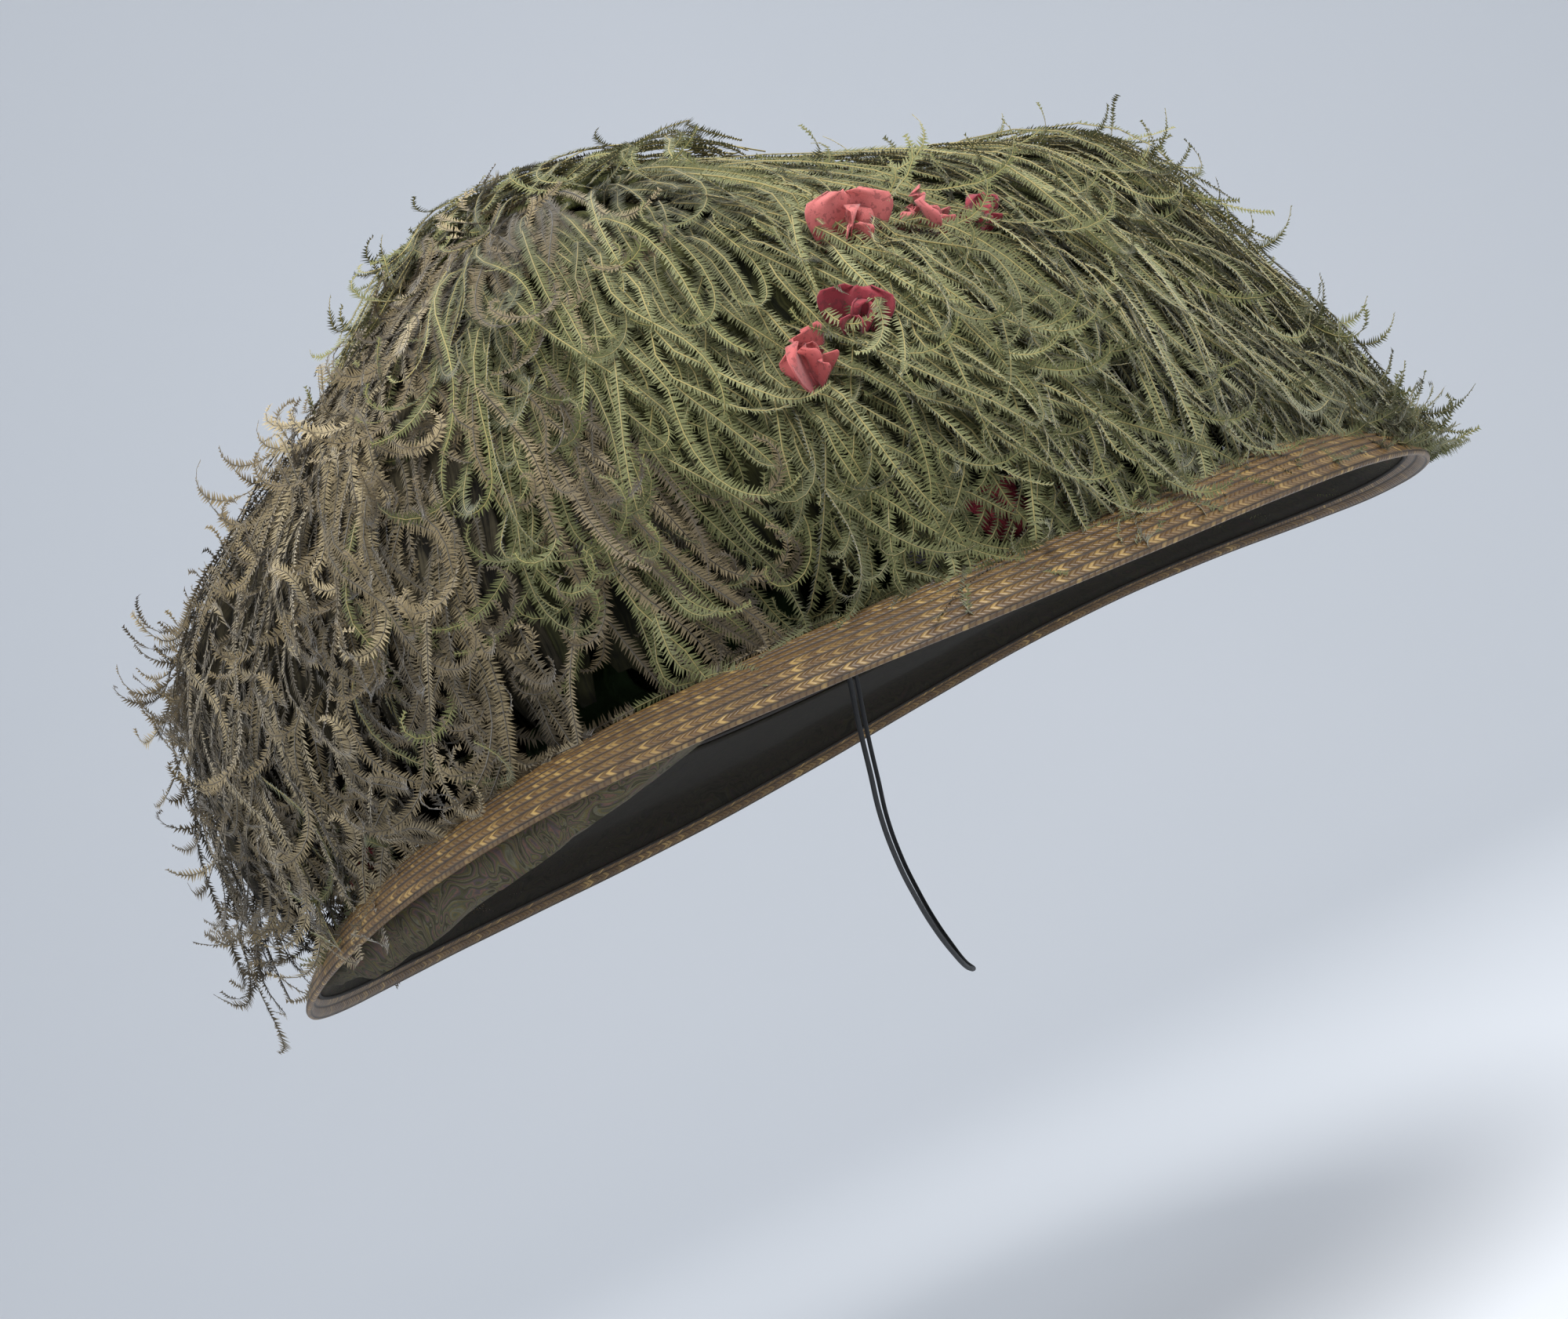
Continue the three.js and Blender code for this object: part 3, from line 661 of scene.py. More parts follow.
def velvetLoop(node, azimuth, reachShare, lift):
    turned = math.radians(azimuth)
    reach = velvet["loopReach"] * reachShare
    seat = crownSide(np.array(turned), np.array(18.0), np.array(7.0))

    def place(u, v):
        # u goes round the loop from its lower end to its upper one, v across the ribbon
        around = (u - 0.5) * math.pi * 1.86
        pinch = 0.55 + 0.45 * np.sin(u * math.pi)
        out = reach * (0.5 + 0.5 * np.cos(around)) * (1 + 0.06 * np.sin(v * 9))
        up = 13 + 13 * np.sin(around) + lift * out / reach
        side = (v - 0.5) * velvet["loopWidth"] * pinch
        up = up + 1.4 * np.sin(v * math.pi * 3 + u * 4) * (1 - np.sin(u * math.pi)) * 1.2
        x = seat[0] + out * math.cos(turned) + side * math.sin(turned)
        y = seat[1] - out * math.sin(turned) + side * math.cos(turned)
        return np.column_stack([x, y, up + 3.0])

    loop = gridPiece(node.replace("velvet_loop_", "velvetLoop"), 36, 16, place)
    applied(loop, "SOLIDIFY", thickness=velvet["cloth"], offset=0, use_rim=True)
    applied(loop, "BEVEL", width=0.0004, segments=2, limit_method="ANGLE")
    dress(loop, velvetFinish)
    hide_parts(node)


for row in loops:
    velvetLoop(*row)
print("velvet is wound")


plume = {
    "centre": -40,
    "height": 216,
    "straight": 8,  # points along a barb before its curl
    "curled": 10,  # and along the curl
    "fluffStep": {"near": 1.25, "far": 2.1},  # along a barb, on the side seen and on the far side
    "fluffLength": 3.7,
    "shaft": 0.27,
    "foremost": 262,
    "overBrim": 3.0,
    "layers": 14,  # how deep the barbs lie over each other
    "fall": 330,  # from the top to the fringe, over the face
    "seed": 41,
    "quickShare": 0.35,
}
outline = np.array(
    [
        # rise, shoulder reach, shoulder height, belly reach, fringe reach, fringe height
        # a row each 45 degrees, from the front round by the right
        (170, 216, 140, 249, 272, -8),
        (194, 180, 132, 218, 232, -4),
        (208, 150, 162, 184, 192, 2),
        (202, 164, 148, 206, 208, 0),
        (178, 218, 122, 240, 244, -8),
        (196, 166, 138, 210, 214, 2),
        (206, 150, 158, 184, 192, 8),
        (192, 178, 132, 214, 232, -2),
    ],
    dtype=float,
)


def plumePoint(azimuth, share, sink):
    # the plumes' outer face: share 0 is the top, 1 the fringe, and below 0 it passes over the top
    azimuth = np.where(share < 0, azimuth + math.pi, azimuth)
    share = np.abs(share)
    place = np.mod(azimuth, full) / (full / 8)
    low = np.floor(place).astype(int)
    ease = ((1 - np.cos((place - low) * math.pi)) / 2)[..., None]
    row = outline[low % 8] * (1 - ease) + outline[(low + 1) % 8] * ease
    zero = np.zeros_like(share)
    knotX = np.stack([zero, row[..., 1] / 2, row[..., 1], row[..., 3], row[..., 4]], -1)
    belly = (row[..., 2] + row[..., 5]) / 2
    knotZ = np.stack([zero + plume["height"], row[..., 0], row[..., 2], belly, row[..., 5]], -1)
    spot = np.clip(share, 0, 1) * 4
    k = np.minimum(np.floor(spot).astype(int), 3)
    t = spot - k
    take = lambda knots, n: np.take_along_axis(knots, np.clip(n, 0, 4)[..., None], -1)[..., 0]

    def spline(knots):
        p0, p1, p2, p3 = take(knots, k - 1), take(knots, k), take(knots, k + 1), take(knots, k + 2)
        v0, v1 = (p2 - p0) / 2, (p3 - p1) / 2
        at = (2 * p1 - 2 * p2 + v0 + v1) * t**3 + (-3 * p1 + 3 * p2 - 2 * v0 - v1) * t**2 + v0 * t + p1
        run = 3 * (2 * p1 - 2 * p2 + v0 + v1) * t**2 + 2 * (-3 * p1 + 3 * p2 - 2 * v0 - v1) * t + v0
        return at, run

    x, runX = spline(knotX)
    z, runZ = spline(knotZ)
    size = np.hypot(runX, runZ) + 1e-6
    reach = x + sink * runZ / size
    height = z - sink * runX / size
    over = np.clip(share - 1, 0, None)
    height = height - over * 120
    return np.stack(
        [plume["centre"] + reach * np.cos(azimuth), -reach * np.sin(azimuth), height], -1
    )


feathers = [
    # node, barbs, azimuths at the top, azimuths at the fringe, straight length, stray, curl in turns,
    # curl length, green at the first azimuth and at the last
    ("plume_right_back", 410, (106, 148), (104, 158), (22, 85), 14, (0.35, 0.8), (30, 60), (0.12, 0.0)),
    ("plume_back", 320, (150, 200), (148, 206), (22, 85), 14, (0.35, 0.8), (30, 60), (0.0, 0.0)),
    ("plume_right", 500, (54, 112), (46, 108), (30, 115), 11, (0.12, 0.7), (28, 60), (1.0, 0.2)),
    ("plume_right_front", 270, (8, 44), (4, 42), (45, 135), 10, (0.06, 0.5), (28, 70), (1.0, 1.0)),
    ("plume_right_front", 210, (36, 84), (24, 62), (45, 130), 10, (0.08, 0.6), (28, 60), (1.0, 1.0)),
    ("plume_front", 290, (-28, 12), (-36, 12), (35, 120), 12, (0.08, 0.65), (24, 60), (1.0, 1.0)),
    ("plume_left_front", 210, (292, 326), (288, 330), (40, 120), 12, (0.15, 0.7), (24, 60), (1.0, 1.0)),
    ("plume_left", 240, (246, 288), (240, 292), (40, 110), 12, (0.2, 0.8), (24, 60), (0.3, 1.0)),
    ("plume_left_back", 210, (204, 242), (198, 244), (30, 90), 14, (0.35, 0.9), (24, 54), (0.0, 0.3)),
]
crest = {
    "barbs": 260,
    "front": 48,
    "back": -140,
    "curl": (0.1, 0.7),
    "curlLength": (18, 44),
    "green": 0.95,
    "top": 240,
}
bed = {"across": 48, "down": 32, "crestAcross": 40, "crestDown": 28, "thickness": 0.0015}
beds = [
    # node, azimuths, depth under the barbs, lower edge, green
    ("plume_front", (-33, 8), 11, 0.94, 1.0),
    ("plume_right_front", (6, 38), 11, 0.94, 1.0),
    ("plume_right", (36, 111), 13, 0.93, 0.8),
    ("plume_right_back", (109, 153), 11, 0.9, 0.0),
    ("plume_back", (151, 200), 11, 0.9, 0.0),
    ("plume_left_back", (198, 243), 11, 0.93, 0.1),
    ("plume_left", (241, 290), 11, 0.93, 0.8),
    ("plume_left_front", (288, 329), 11, 0.94, 1.0),
]


def curlOn(path, direction, outward, turns, length, rng):
    # carries each barb on from its last point through a curl, in a plane of its own
    count = path.shape[0]
    column = lambda low, high: rng.uniform(low, high, count)[:, None]
    side = np.cross(direction, outward)
    side /= np.linalg.norm(side, axis=1, keepdims=True) + 1e-9
    lean = column(-0.75, 0.75)
    axis = np.cos(lean) * outward + np.sin(lean) * side
    axis /= np.linalg.norm(axis, axis=1, keepdims=True)
    steps = plume["curled"]
    spot = path[:, -1]
    made = []
    for i in range(steps):
        into = (i + 0.5) / steps
        angle = turns * full / steps * (0.35 + 1.3 * into)
        cos, sin = np.cos(angle), np.sin(angle)
        along = np.sum(axis * direction, axis=1, keepdims=True)
        direction = direction * cos + np.cross(axis, direction) * sin + axis * along * (1 - cos)
        pull = direction + np.array([-0.06, 0.03, -0.12])
        pull /= np.linalg.norm(pull, axis=1, keepdims=True)
        spot = spot + pull * length / steps * (1.25 - 0.5 * into)
        made.append(spot)
    return np.concatenate([path, np.stack(made, 1)], 1)


def unit(vectors):
    return vectors / (np.linalg.norm(vectors, axis=-1, keepdims=True) + 1e-9)


def barbPaths(rng, count, tops, fringes, lengths, stray, curls, curlLengths):
    column = lambda low, high: rng.uniform(low, high, count)[:, None]
    t = np.linspace(0, 1, plume["straight"])[None, :]
    locks = max(5, count // 8)
    lock = rng.integers(0, locks, count)
    shared = rng.random((locks, 9))[lock]
    together = lambda n: shared[:, n : n + 1]
    # a lock's barbs start near each other and run much the same way
    start = np.clip(0.04 + 0.86 * together(0) ** 0.85 + column(-0.09, 0.09), 0.02, 0.93)
    length = lengths[0] + (lengths[1] - lengths[0]) * (0.45 * together(1) + 0.55 * column(0, 1))
    end = np.minimum(start + length / plume["fall"], 1.03 - 0.05 * column(0, 1))
    share = start + (end - start) * t
    rank = np.clip(together(2) + column(-0.07, 0.07), 0, 1)
    azimuth = tops[0] + (tops[1] - tops[0]) * rank
    azimuth = azimuth + (fringes[0] + (fringes[1] - fringes[0]) * rank - azimuth) * share
    heading = (together(3) * 2 - 1) * stray * 0.8 + column(-1, 1) * stray * 0.6
    size = 0.35 + 0.65 * np.clip(share * 2.2, 0.3, 1)  # a degree is short near the top
    azimuth = azimuth + heading * (length / 90) * t / size
    swing = (1.0 + 3.0 * together(4)) * column(0.4, 1.4)
    wave = column(0.3, 0.9) * t + together(5) + column(-0.15, 0.15)
    azimuth = azimuth + swing * np.sin(full * wave) * t**0.6
    azimuth = np.clip(azimuth, min(tops[0], fringes[0]) - 4, max(tops[1], fringes[1]) + 4)
    layer = (0.4 * together(6) + 0.6 * column(0, 1)) * plume["layers"]
    lift = column(0, 9) * together(7) * t**2 + column(0, 6) * np.sin(t * math.pi)
    under = np.clip(1 - t * 3, 0, 1) ** 1.5 * 6
    path = plumePoint(np.radians(azimuth), share, layer + under - lift)
    direction = unit(path[:, -1] - path[:, -2])
    outward = unit(path[:, -1] - np.array([plume["centre"], 0, 60]))
    turns = column(*curls) * np.where(rng.random(count) < 0.5, -1, 1)[:, None]
    # deeper barbs get a darker tone, as painted shade, on top of a random tone
    tone = np.clip(0.95 - layer / plume["layers"] * 0.75 + column(-0.25, 0.25), 0, 1)
    path = curlOn(path, direction, outward, turns, column(*curlLengths), rng)
    return path, tone[:, 0], rank[:, 0], together(8)[:, 0]


def crestPaths(rng, count):
    # barbs that leave the crest's quill and fall over both sides of the ridge
    column = lambda low, high: rng.uniform(low, high, count)[:, None]
    t = np.linspace(0, 1, plume["straight"])[None, :]
    start = rng.random(count)[:, None]
    hand = np.where(rng.random(count) < 0.62, -1.0, 1.0)[:, None]
    x = crest["front"] + (crest["back"] - crest["front"]) * start - column(24, 66) * t
    x = x + 6 * np.sin(full * (t + column(0, 1)))
    y = column(-8, 8) + hand * column(8, 74) * t**1.15
    y = y + column(-5, 5) * np.sin(full * t * column(0.5, 1.1))
    top = ridge(x) - column(0, 12)
    z = top - np.abs(y) ** 2 / 260 + 3 * np.sin(math.pi * t) - 6 * (1 - t)
    path = np.stack([x, y, z], -1)
    direction = unit(path[:, -1] - path[:, -2])
    outward = unit(path[:, -1] - np.array([plume["centre"], 0, 120]))
    turns = column(*crest["curl"]) * np.where(rng.random(count) < 0.5, -1, 1)[:, None]
    return curlOn(path, direction, outward, turns, column(*crest["curlLength"]), rng)


def brimTop(point):
    # about how high the brim's top is under each point, and far below off its edge
    x, y = point[..., 0] + brim["setBack"], point[..., 1]
    out = np.hypot(x / (brim["length"] / 2), y / (brim["width"] / 2))
    azimuth = np.arctan2(-y / (brim["width"] / 2), x / (brim["length"] / 2))
    fromRim = (1 - np.clip(out, 0, 1)) * (brim["length"] + brim["width"]) / 4
    top = brimPoint(azimuth, fromRim, np.zeros_like(out))[..., 2]
    return np.where(out < np.where(x > -90, 1.16, 1.0), top, -1000)


def barbMesh(name, path, tone, leaf, rng, step):
    path[..., 0] = np.minimum(path[..., 0], plume["foremost"])
    path[..., 2] = np.maximum(path[..., 2], brimTop(path) + plume["overBrim"])
    count, steps = path.shape[:2]
    along = unit(np.gradient(path, axis=1))
    out = path - np.array([plume["centre"], 0, 40])
    side = unit(np.cross(along, out))
    twist = rng.uniform(-0.45, 0.45, (count, 1))
    twist = twist + rng.uniform(-0.9, 0.9, (count, 1)) * np.linspace(0, 1, steps)
    normal = np.cross(side, along)
    flat = side * np.cos(twist)[..., None] + normal * np.sin(twist)[..., None]
    up = np.cross(flat, along)
    # the shaft: a three-sided tapering tube
    taper = np.linspace(1.3, 0.4, steps)[None, :, None] * plume["shaft"]
    sides = [(math.cos(c * full / 3), math.sin(c * full / 3)) for c in range(3)]
    rings = np.stack([path + (flat * cos + up * sin) * taper for cos, sin in sides], 2)
    grow = np.broadcast_to(np.linspace(0, 1, steps)[None, :, None], (count, steps, 3))
    spread = np.ones((count, steps, 3))
    points = [rings.reshape(-1, 3)]
    tones, leaves = tone[:, None, None] * spread, leaf[:, None, None] * spread
    marks = [np.stack([tones, grow, spread, leaves], -1).reshape(-1, 4)]
    base = (np.arange(count)[:, None, None] * steps + np.arange(steps - 1)[None, :, None]) * 3
    a = base + np.arange(3)[None, None, :]
    b = base + (np.arange(3)[None, None, :] + 1) % 3
    faces = [np.stack([a, b, b + 3], -1).reshape(-1, 3), np.stack([a, b + 3, a + 3], -1).reshape(-1, 3)]
    # the fluff: a fine sliver each side, evenly spaced along the barb
    total = points[0].shape[0]
    pace = np.linalg.norm(np.diff(path, axis=1), axis=2)
    far = np.concatenate([np.zeros((count, 1)), np.cumsum(pace, axis=1)], 1)
    each = np.maximum((far[:, -1] / step).astype(int), 8)
    owner = np.repeat(np.arange(count), each)
    slant = rng.uniform(0.3, 0.75, count)
    lifted = rng.uniform(-0.2, 0.35, count)
    fuller = rng.uniform(0.8, 1.12, count)
    order = np.arange(owner.size) - np.repeat(np.cumsum(each) - each, each)
    for hand in (-1, 1):
        s = (order + 0.5 + rng.uniform(-0.25, 0.25, owner.size)) / each[owner]
        spots = [np.interp(s[owner == i] * far[i, -1], far[i], np.arange(steps)) for i in range(count)]
        spot = np.minimum(np.concatenate(spots), steps - 1.001)
        low = spot.astype(int)
        part = (spot - low)[:, None]
        between = lambda table: table[owner, low] * (1 - part) + table[owner, low + 1] * part
        at, ahead, sideways, above = between(path), between(along), between(flat), between(up)
        fill = np.clip(s * 9, 0.35, 1) * np.clip((1 - s) * 9, 0.45, 1)
        reach = plume["fluffLength"] * fill * fuller[owner] * rng.uniform(0.8, 1.08, owner.size)
        lean = (slant[owner] + rng.normal(0, 0.1, owner.size))[:, None]
        rise = (lifted[owner] + rng.normal(0, 0.1, owner.size))[:, None]
        tip = unit(sideways * hand + ahead * lean + above * rise)
        first = at - ahead * step * 0.47
        second = at + ahead * step * 0.47
        third = at + tip * reach[:, None]
        corners = np.stack([first, second, third] if hand > 0 else [second, first, third], 1)
        points.append(corners.reshape(-1, 3))
        mark = np.zeros((owner.size, 3, 4))
        mark[..., 0] = tone[owner][:, None]
        mark[..., 1] = s[:, None]
        mark[..., 2] = np.array([0.5, 0.5, 0.0])
        mark[..., 3] = leaf[owner][:, None]
        marks.append(mark.reshape(-1, 4))
        faces.append(total + np.arange(owner.size * 3).reshape(-1, 3))
        total += owner.size * 3
    points = np.concatenate(points) * mm
    marks = np.concatenate(marks)
    faces = np.concatenate(faces)
    mesh = bpy.data.meshes.new(name)
    mesh.vertices.add(len(points))
    mesh.vertices.foreach_set("co", points.ravel())
    mesh.loops.add(faces.size)
    mesh.loops.foreach_set("vertex_index", faces.ravel().astype(np.int32))
    mesh.polygons.add(len(faces))
    mesh.polygons.foreach_set("loop_start", np.arange(0, faces.size, 3, dtype=np.int32))
    mesh.polygons.foreach_set("loop_total", np.full(len(faces), 3, dtype=np.int32))
    mesh.update(calc_edges=True)
    mark = mesh.color_attributes.new("barbTone", "FLOAT_COLOR", "POINT")
    mark.data.foreach_set("color", marks.ravel())
    piece = bpy.data.objects.new(name, mesh)
    scene.collection.objects.link(piece)
    return piece, len(faces)


def plumeShade():
    s = Shader("ostrichBarb")
    mark = s.barbTone()
    split = s.node("ShaderNodeSeparateColor", Color=mark.outputs[0])
    tone, grow, quill = split.outputs
    leaf = mark.outputs[1]
    steps = lambda *colours: [(at, rgb(*c)) for at, c in zip((0.0, 0.4, 0.75, 1.0), colours)]
    # the tone carries random tone and painted shade: barbs that lie deeper are darker
    taupe = s.ramp(tone, steps((44, 36, 20), (92, 77, 48), (148, 129, 90), (214, 194, 150)))
    sage = s.ramp(tone, steps((38, 40, 14), (76, 79, 36), (113, 116, 66), (166, 167, 117)))
    tips = s.mix(leaf, taupe, sage)
    foot = s.mix(0.55, tips, s.mix(leaf, rgb(62, 53, 38), rgb(70, 72, 30)))
    shaft = s.mix(leaf, rgb(58, 49, 36), s.mix(tone, rgb(96, 84, 32), rgb(204, 184, 112)))
    fluff = s.mix(s.math("MINIMUM", s.math("MULTIPLY", quill, 2.0), 1.0), tips, foot)
    colour = s.mix(s.math("GREATER_THAN", quill, 0.75), fluff, shaft)
    colour = s.mix(s.math("MULTIPLY", s.math("SUBTRACT", 1.0, grow), 0.4), colour, rgb(60, 54, 22))
    # barbs low on the hat are painted darker: painted shade
    height = s.node("ShaderNodeSeparateXYZ", Vector=s.place()).outputs[2]
    high = s.math("MULTIPLY", s.math("MAXIMUM", height, 0.0), 9.0)
    low = s.math("SUBTRACT", 1.0, s.math("MINIMUM", high, 1.0))
    colour = s.mix(s.math("MULTIPLY", low, 0.45), colour, s.mix(leaf, rgb(46, 41, 31), rgb(58, 60, 28)))
    return s.finish(colour, 0.6, None, Specular_IOR_Level=0.3, Sheen_Weight=0.35, Sheen_Roughness=0.5)


def bedShade():
    # massed fluff under the barbs, combed downwards, coloured darker than the barbs as painted shade in
    # the gaps between them
    s = Shader("massedFluffAndPaintedShade")
    split = s.node("ShaderNodeSeparateXYZ", Vector=s.uv())
    drift = s.noise(s.place(), 22, 2.0, 0.5)
    bent = s.math("ADD", split.outputs[0], s.math("MULTIPLY", drift.outputs[0], 0.16))
    across = s.math("MULTIPLY", bent, 110.0)
    down = s.math("MULTIPLY", split.outputs[1], 7.0)
    comb = s.node("ShaderNodeCombineXYZ", X=across, Y=down, Z=0.0)
    fibre = s.noise(comb.outputs[0], 1.0, 3.0, 0.6)
    clump = s.noise(s.place(), 60, 3.0, 0.6)
    leaf = s.barbTone().outputs[1]
    dark = s.mix(leaf, rgb(22, 19, 13), rgb(24, 27, 10))
    light = s.mix(leaf, rgb(82, 75, 57), rgb(86, 88, 46))
    share = s.math("SUBTRACT", s.math("ADD", fibre.outputs[0], clump.outputs[0]), 0.86)
    share = s.math("MAXIMUM", s.math("MINIMUM", s.math("MULTIPLY", share, 2.8), 1.0), 0.0)
    colour = s.mix(share, dark, light)
    # darkened to near-black towards the lower edge: painted shade at the bottom of the plumes
    low = s.math("POWER", split.outputs[1], 5.0)
    colour = s.mix(s.math("MULTIPLY", low, 0.85), colour, rgb(14, 13, 8))
    return s.finish(colour, 0.9, s.bump(fibre.outputs[0], 0.8, 0.0012), Specular_IOR_Level=0.2)


def finishBed(piece, green):
    applied(piece, "SOLIDIFY", thickness=bed["thickness"], offset=0, use_rim=True)
    mark = piece.data.color_attributes.new("barbTone", "FLOAT_COLOR", "POINT")
    mark.data.foreach_set("color", np.tile([0.5, 0.5, 0.0, green], len(piece.data.vertices)))
    dress(piece, bedFinish)


def plumeBed(node, azimuths, depth, lowest, green):
    def place(u, v):
        azimuth = np.radians(azimuths[0] + (azimuths[1] - azimuths[0]) * u)
        edge = lowest + 0.03 * np.sin(azimuth * 57) + 0.02 * np.sin(azimuth * 131 + 1)
        lump = 2.2 * np.sin(azimuth * 34 + 3 * v) * v
        lump = lump + 1.6 * np.sin(azimuth * 71 - 4 * v) * np.sin(v * 9)
        ends = 6 * (1 - np.clip(v * 6, 0, 1)) + 5 * np.clip(v - 0.85, 0, 1) / 0.15
        return plumePoint(azimuth, 0.02 + v * (edge - 0.02), depth + lump + ends)

    name = node.replace("plume_", "plumeBed_")
    finishBed(gridPiece(name, bed["across"], bed["down"], place), green)


def ridge(x):
    # the top of the crest along the hat
    return crest["top"] - 24 * np.clip((x + 62) / 110, 0, 2) ** 2 - 52 * np.clip((-66 - x) / 90, 0, 2) ** 2


def crestBedPoint(u, v):
    x = 34 - 164 * u
    y = (v - 0.5) * 2 * (14 + 50 * np.sin(np.clip(u * 0.9 + 0.1, 0, 1) * math.pi) ** 0.8)
    y = y + 3 * np.sin(u * 60) * (v - 0.5)
    sunk = 12 + 14 * np.clip(1 - u * 5, 0, 1) ** 2 + 8 * np.clip(u * 4 - 3, 0, 1)
    return np.column_stack([x, y, ridge(x) - sunk - y**2 / 150 + 1.5 * np.sin(u * 37 + v * 9)])


bedFinish = bedShade()
for row in beds:
    plumeBed(*row)
crestBed = gridPiece("plumeBed_crest", bed["crestAcross"], bed["crestDown"], crestBedPoint)
finishBed(crestBed, 1.0)
print("plumes have their beds")

flowers = [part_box(node) for node in sorted(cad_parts) if node.startswith("blossom_")]
parting = np.array([-77.0, -187.0, 7.0])  # where the velvet shows between the curls
clearing = {"highFrom": 60, "dipping": 0.72, "crossing": 0.12, "partingRadius": 19, "overParting": 0.15}


def besideBlossoms(path, rng):
    # most barbs dip under the blossoms on the plumes and a few cross them, and they part over the low ones
    keep = np.ones(len(path), dtype=bool)
    for low, high in flowers:
        low, high = np.array(low) / mm, np.array(high) / mm
        middle = (low + high) / 2
        radius = 0.5 * (high - low).max()
        away = np.linalg.norm(path - middle, axis=2)
        if middle[2] > clearing["highFrom"]:
            dips = rng.random(len(path)) < clearing["dipping"]
            inward = unit((np.array([plume["centre"], 0, 90]) - middle) * np.array([1, 1, 0.3]))
            dip = np.exp(-((away / (radius * 1.15)) ** 4)) * dips[:, None] * radius
            path = path + dip[..., None] * inward
        else:
            keep &= (away.min(1) > radius * 1.05) | (rng.random(len(path)) < clearing["crossing"])
    away = np.linalg.norm(path - parting, axis=2).min(1)
    keep &= (away > clearing["partingRadius"]) | (rng.random(len(path)) < clearing["overParting"])
    return path, keep


barbFinish = plumeShade()
rng = np.random.default_rng(plume["seed"])
thin = 1.0
trianglesMade = 0
laid = {}
for node, barbs, tops, fringes, lengths, stray, curls, curlLengths, green in feathers:
    count = int(barbs * thin)
    path, tone, rank, chance = barbPaths(rng, count, tops, fringes, lengths, stray, curls, curlLengths)
    path, keep = besideBlossoms(path, rng)
    leaf = (chance < green[0] + (green[1] - green[0]) * rank**3).astype(float)
    laid.setdefault(node, []).append((path[keep], tone[keep], leaf[keep]))
for node, sets in laid.items():
    path, tone, leaf = [np.concatenate(column) for column in zip(*sets)]
    step = plume["fluffStep"]["far" if "left" in node else "near"]
    piece, faces = barbMesh(node.replace("plume_", "plumes_"), path, tone, leaf, rng, step)
    trianglesMade += faces
    print(piece.name, len(path), "barbs", faces, "triangles")
    dress(piece, barbFinish)
    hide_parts(node)
path = crestPaths(rng, int(crest["barbs"] * thin))
tone = rng.uniform(0.35, 1.0, len(path))
leaf = (rng.random(len(path)) < crest["green"]).astype(float)
piece, faces = barbMesh("plumes_crest", path, tone, leaf, rng, plume["fluffStep"]["near"])
dress(piece, barbFinish)
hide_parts("plume_crest")
print("plumes are curled:", trianglesMade + faces, "triangles")


blossoms = [
    # node, span, turn, whether it leans out of the plumes, deep colour, pale colour
    ("blossom_1", 34, 15, True, (146, 44, 52), (208, 114, 108)),
    ("blossom_2", 28, 100, True, (140, 36, 48), (204, 108, 106)),
    ("blossom_3", 22, 50, True, (118, 18, 36), (158, 40, 56)),
    ("blossom_4", 28, -20, True, (92, 14, 28), (150, 40, 52)),
    ("blossom_5", 28, 60, True, (138, 40, 46), (192, 92, 88)),
    ("blossom_6", 30, 40, False, (142, 26, 42), (180, 66, 70)),
    ("blossom_7", 28, 120, False, (128, 118, 150), (186, 178, 198)),
    ("blossom_8", 28, 200, False, (124, 18, 38), (164, 44, 60)),
    ("blossom_9", 32, 300, False, (96, 10, 20), (140, 26, 34)),
]


petalCloth = 0.00045


def petalShade(name, deep, pale):
    s = Shader(name)
    split = s.node("ShaderNodeSeparateXYZ", Vector=s.uv())
    veins = s.noise(s.place(), 420, 4.0, 0.6, 0.6)
    vein = s.math("MULTIPLY", veins.outputs[0], 0.35)
    fade = s.math("ADD", s.math("MULTIPLY", split.outputs[1], 0.75), vein)
    colour = s.mix(fade, rgb(*deep), rgb(*pale))
    stain = s.noise(s.place(), 520, 2.0).outputs[0]
    colour = s.mix(s.math("MULTIPLY", s.math("GREATER_THAN", stain, 0.6), 0.4), colour, rgb(72, 26, 28))
    weave = s.noise(s.place(), 3000, 1.0)
    relief = s.math("ADD", veins.outputs[0], weave.outputs[0])
    return s.finish(colour, 0.7, s.bump(relief, 0.35, 0.0004), Sheen_Weight=0.2)


def petal(name, width, height, cup, ruffle, phase):
    def place(u, v):
        side = (u - 0.5) * 2
        half = width / 2 * (0.16 + 0.84 * np.sin(np.clip(v * 0.93 + 0.03, 0, 1) * math.pi * 0.62) ** 0.8)
        rounded = np.sqrt(np.clip(1 - (np.clip(v - 0.55, 0, 1) / 0.47) ** 2.6, 0.05, 1))
        x = side * half * rounded
        y = v * height * (1 - 0.06 * np.abs(side) ** 0.5 * (v > 0.9))
        y = y - 0.06 * height * (1 - side**2) * (v**8)
        bend = (x / width) ** 2 * 2.4 + (y / height) ** 2 * 0.5
        wave = ruffle * np.sin(side * 5.0 + phase) * v**2
        wave = wave + ruffle * 0.5 * np.sin(side * 11 + phase * 2) * v**5
        return np.column_stack([x, y, cup * bend + wave])

    return gridPiece(name, 14, 11, place)


def joinUnder(name, parts):
    clearSelection()
    for part in parts:
        part.select_set(True)
    bpy.context.view_layer.objects.active = parts[0]
    bpy.ops.object.join()
    parts[0].name = name
    return parts[0]


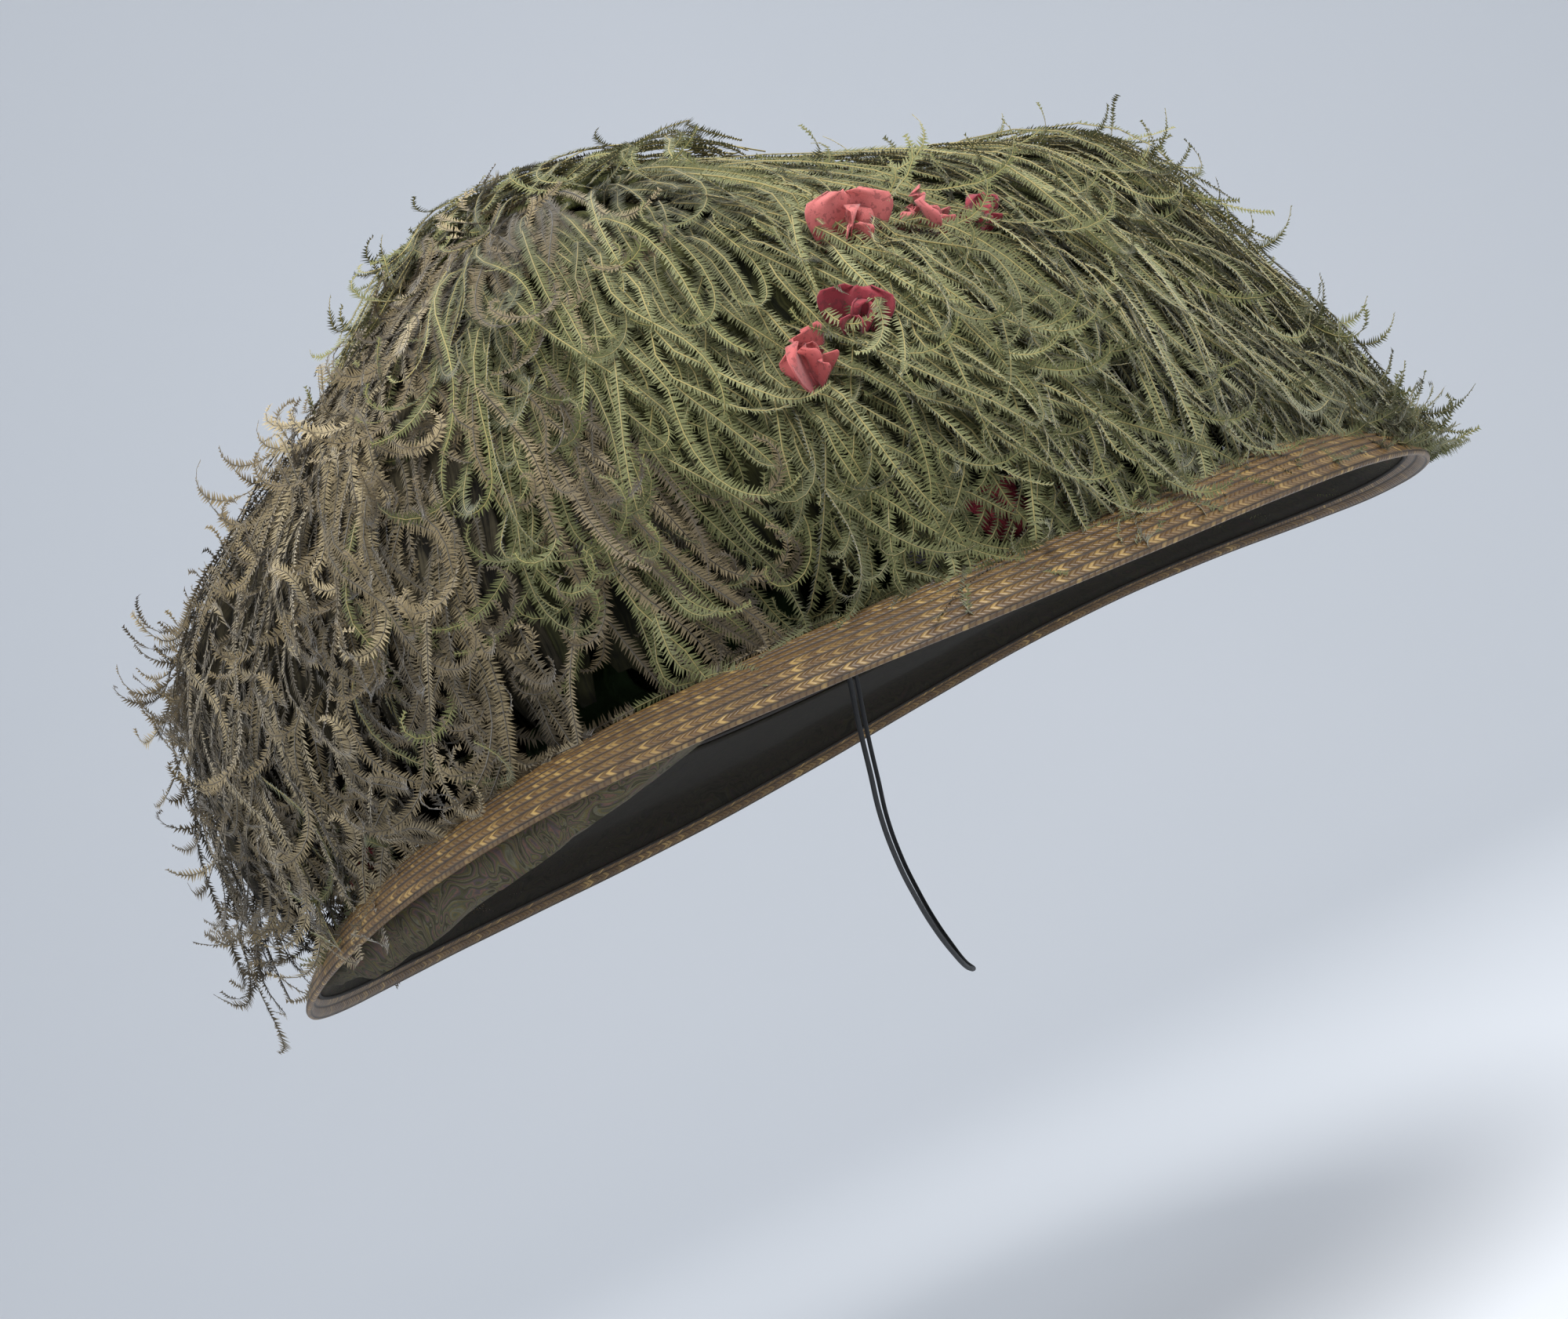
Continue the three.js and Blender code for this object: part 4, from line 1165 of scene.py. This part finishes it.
def blossom(node, span, turned, leaning, deep, pale):
    name = node.replace("blossom_", "blossom")
    low, high = [np.array(corner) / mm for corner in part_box(node)]
    middle = (low + high) / 2
    phase = middle[0] * 0.7 + span
    back = petal(name + "Back", span, span * 0.8, span * 0.28, span * 0.075, phase)
    parts = [back]
    for hand in (-1, 1):
        wing = petal(name + "Wing", span * 0.56, span * 0.6, span * 0.2 * hand, span * 0.08, phase * 1.7)
        wing.data.transform(Matrix.Rotation(math.radians(58 * hand), 4, "Y"))
        wing.data.transform(Matrix.Translation((0, 0.8 * mm, 0.6 * mm)))
        parts.append(wing)
    keel = petal(name + "Keel", span * 0.3, span * 0.42, span * 0.5, span * 0.03, phase)
    keel.data.transform(Matrix.Translation((0, 0, 1.4 * mm)))
    parts.append(keel)
    for part in parts:
        part.data.transform(Matrix.Rotation(math.radians(62), 4, "X"))
    stem = gridPiece(name + "Stem", 10, 6, stemPoint, True)
    flower = joinUnder(name, parts)
    applied(flower, "SOLIDIFY", thickness=petalCloth, offset=0, use_rim=True)
    outward = unit(np.array([middle[0] - plume["centre"], middle[1], 0.0]))
    for piece in (flower, stem):
        piece.data.transform(Matrix.Rotation(math.radians(turned), 4, "Z"))
        if leaning:
            away = unit(outward + np.array([0, 0, 0.9]))
            axis = np.cross((0, 0, 1), away)
            piece.data.transform(Matrix.Rotation(math.acos(away[2]), 4, [float(c) for c in axis]))
    corners = np.array([vertex.co for vertex in flower.data.vertices]) / mm
    move = middle - (corners.min(0) + corners.max(0)) / 2 + outward * (3 if leaning else 0)
    for piece in (flower, stem):
        piece.data.transform(Matrix.Translation([float(c) * mm for c in move]))
    dress(flower, petalShade(name + "Cloth", deep, pale))
    dress(stem, stemFinish)
    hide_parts(node)


def stemPoint(u, v):
    around = u * full
    return np.column_stack([0.9 * np.cos(around), 0.9 * np.sin(around), -5.0 * v])


stemShade = Shader("stemWrap")
stemWrap = stemShade.noise(stemShade.place(), 600).outputs[0]
stemFinish = stemShade.finish(stemShade.mix(stemWrap, rgb(58, 74, 34), rgb(96, 110, 60)), 0.75)
for row in blossoms:
    blossom(*row)
print("blossoms are sewn on")
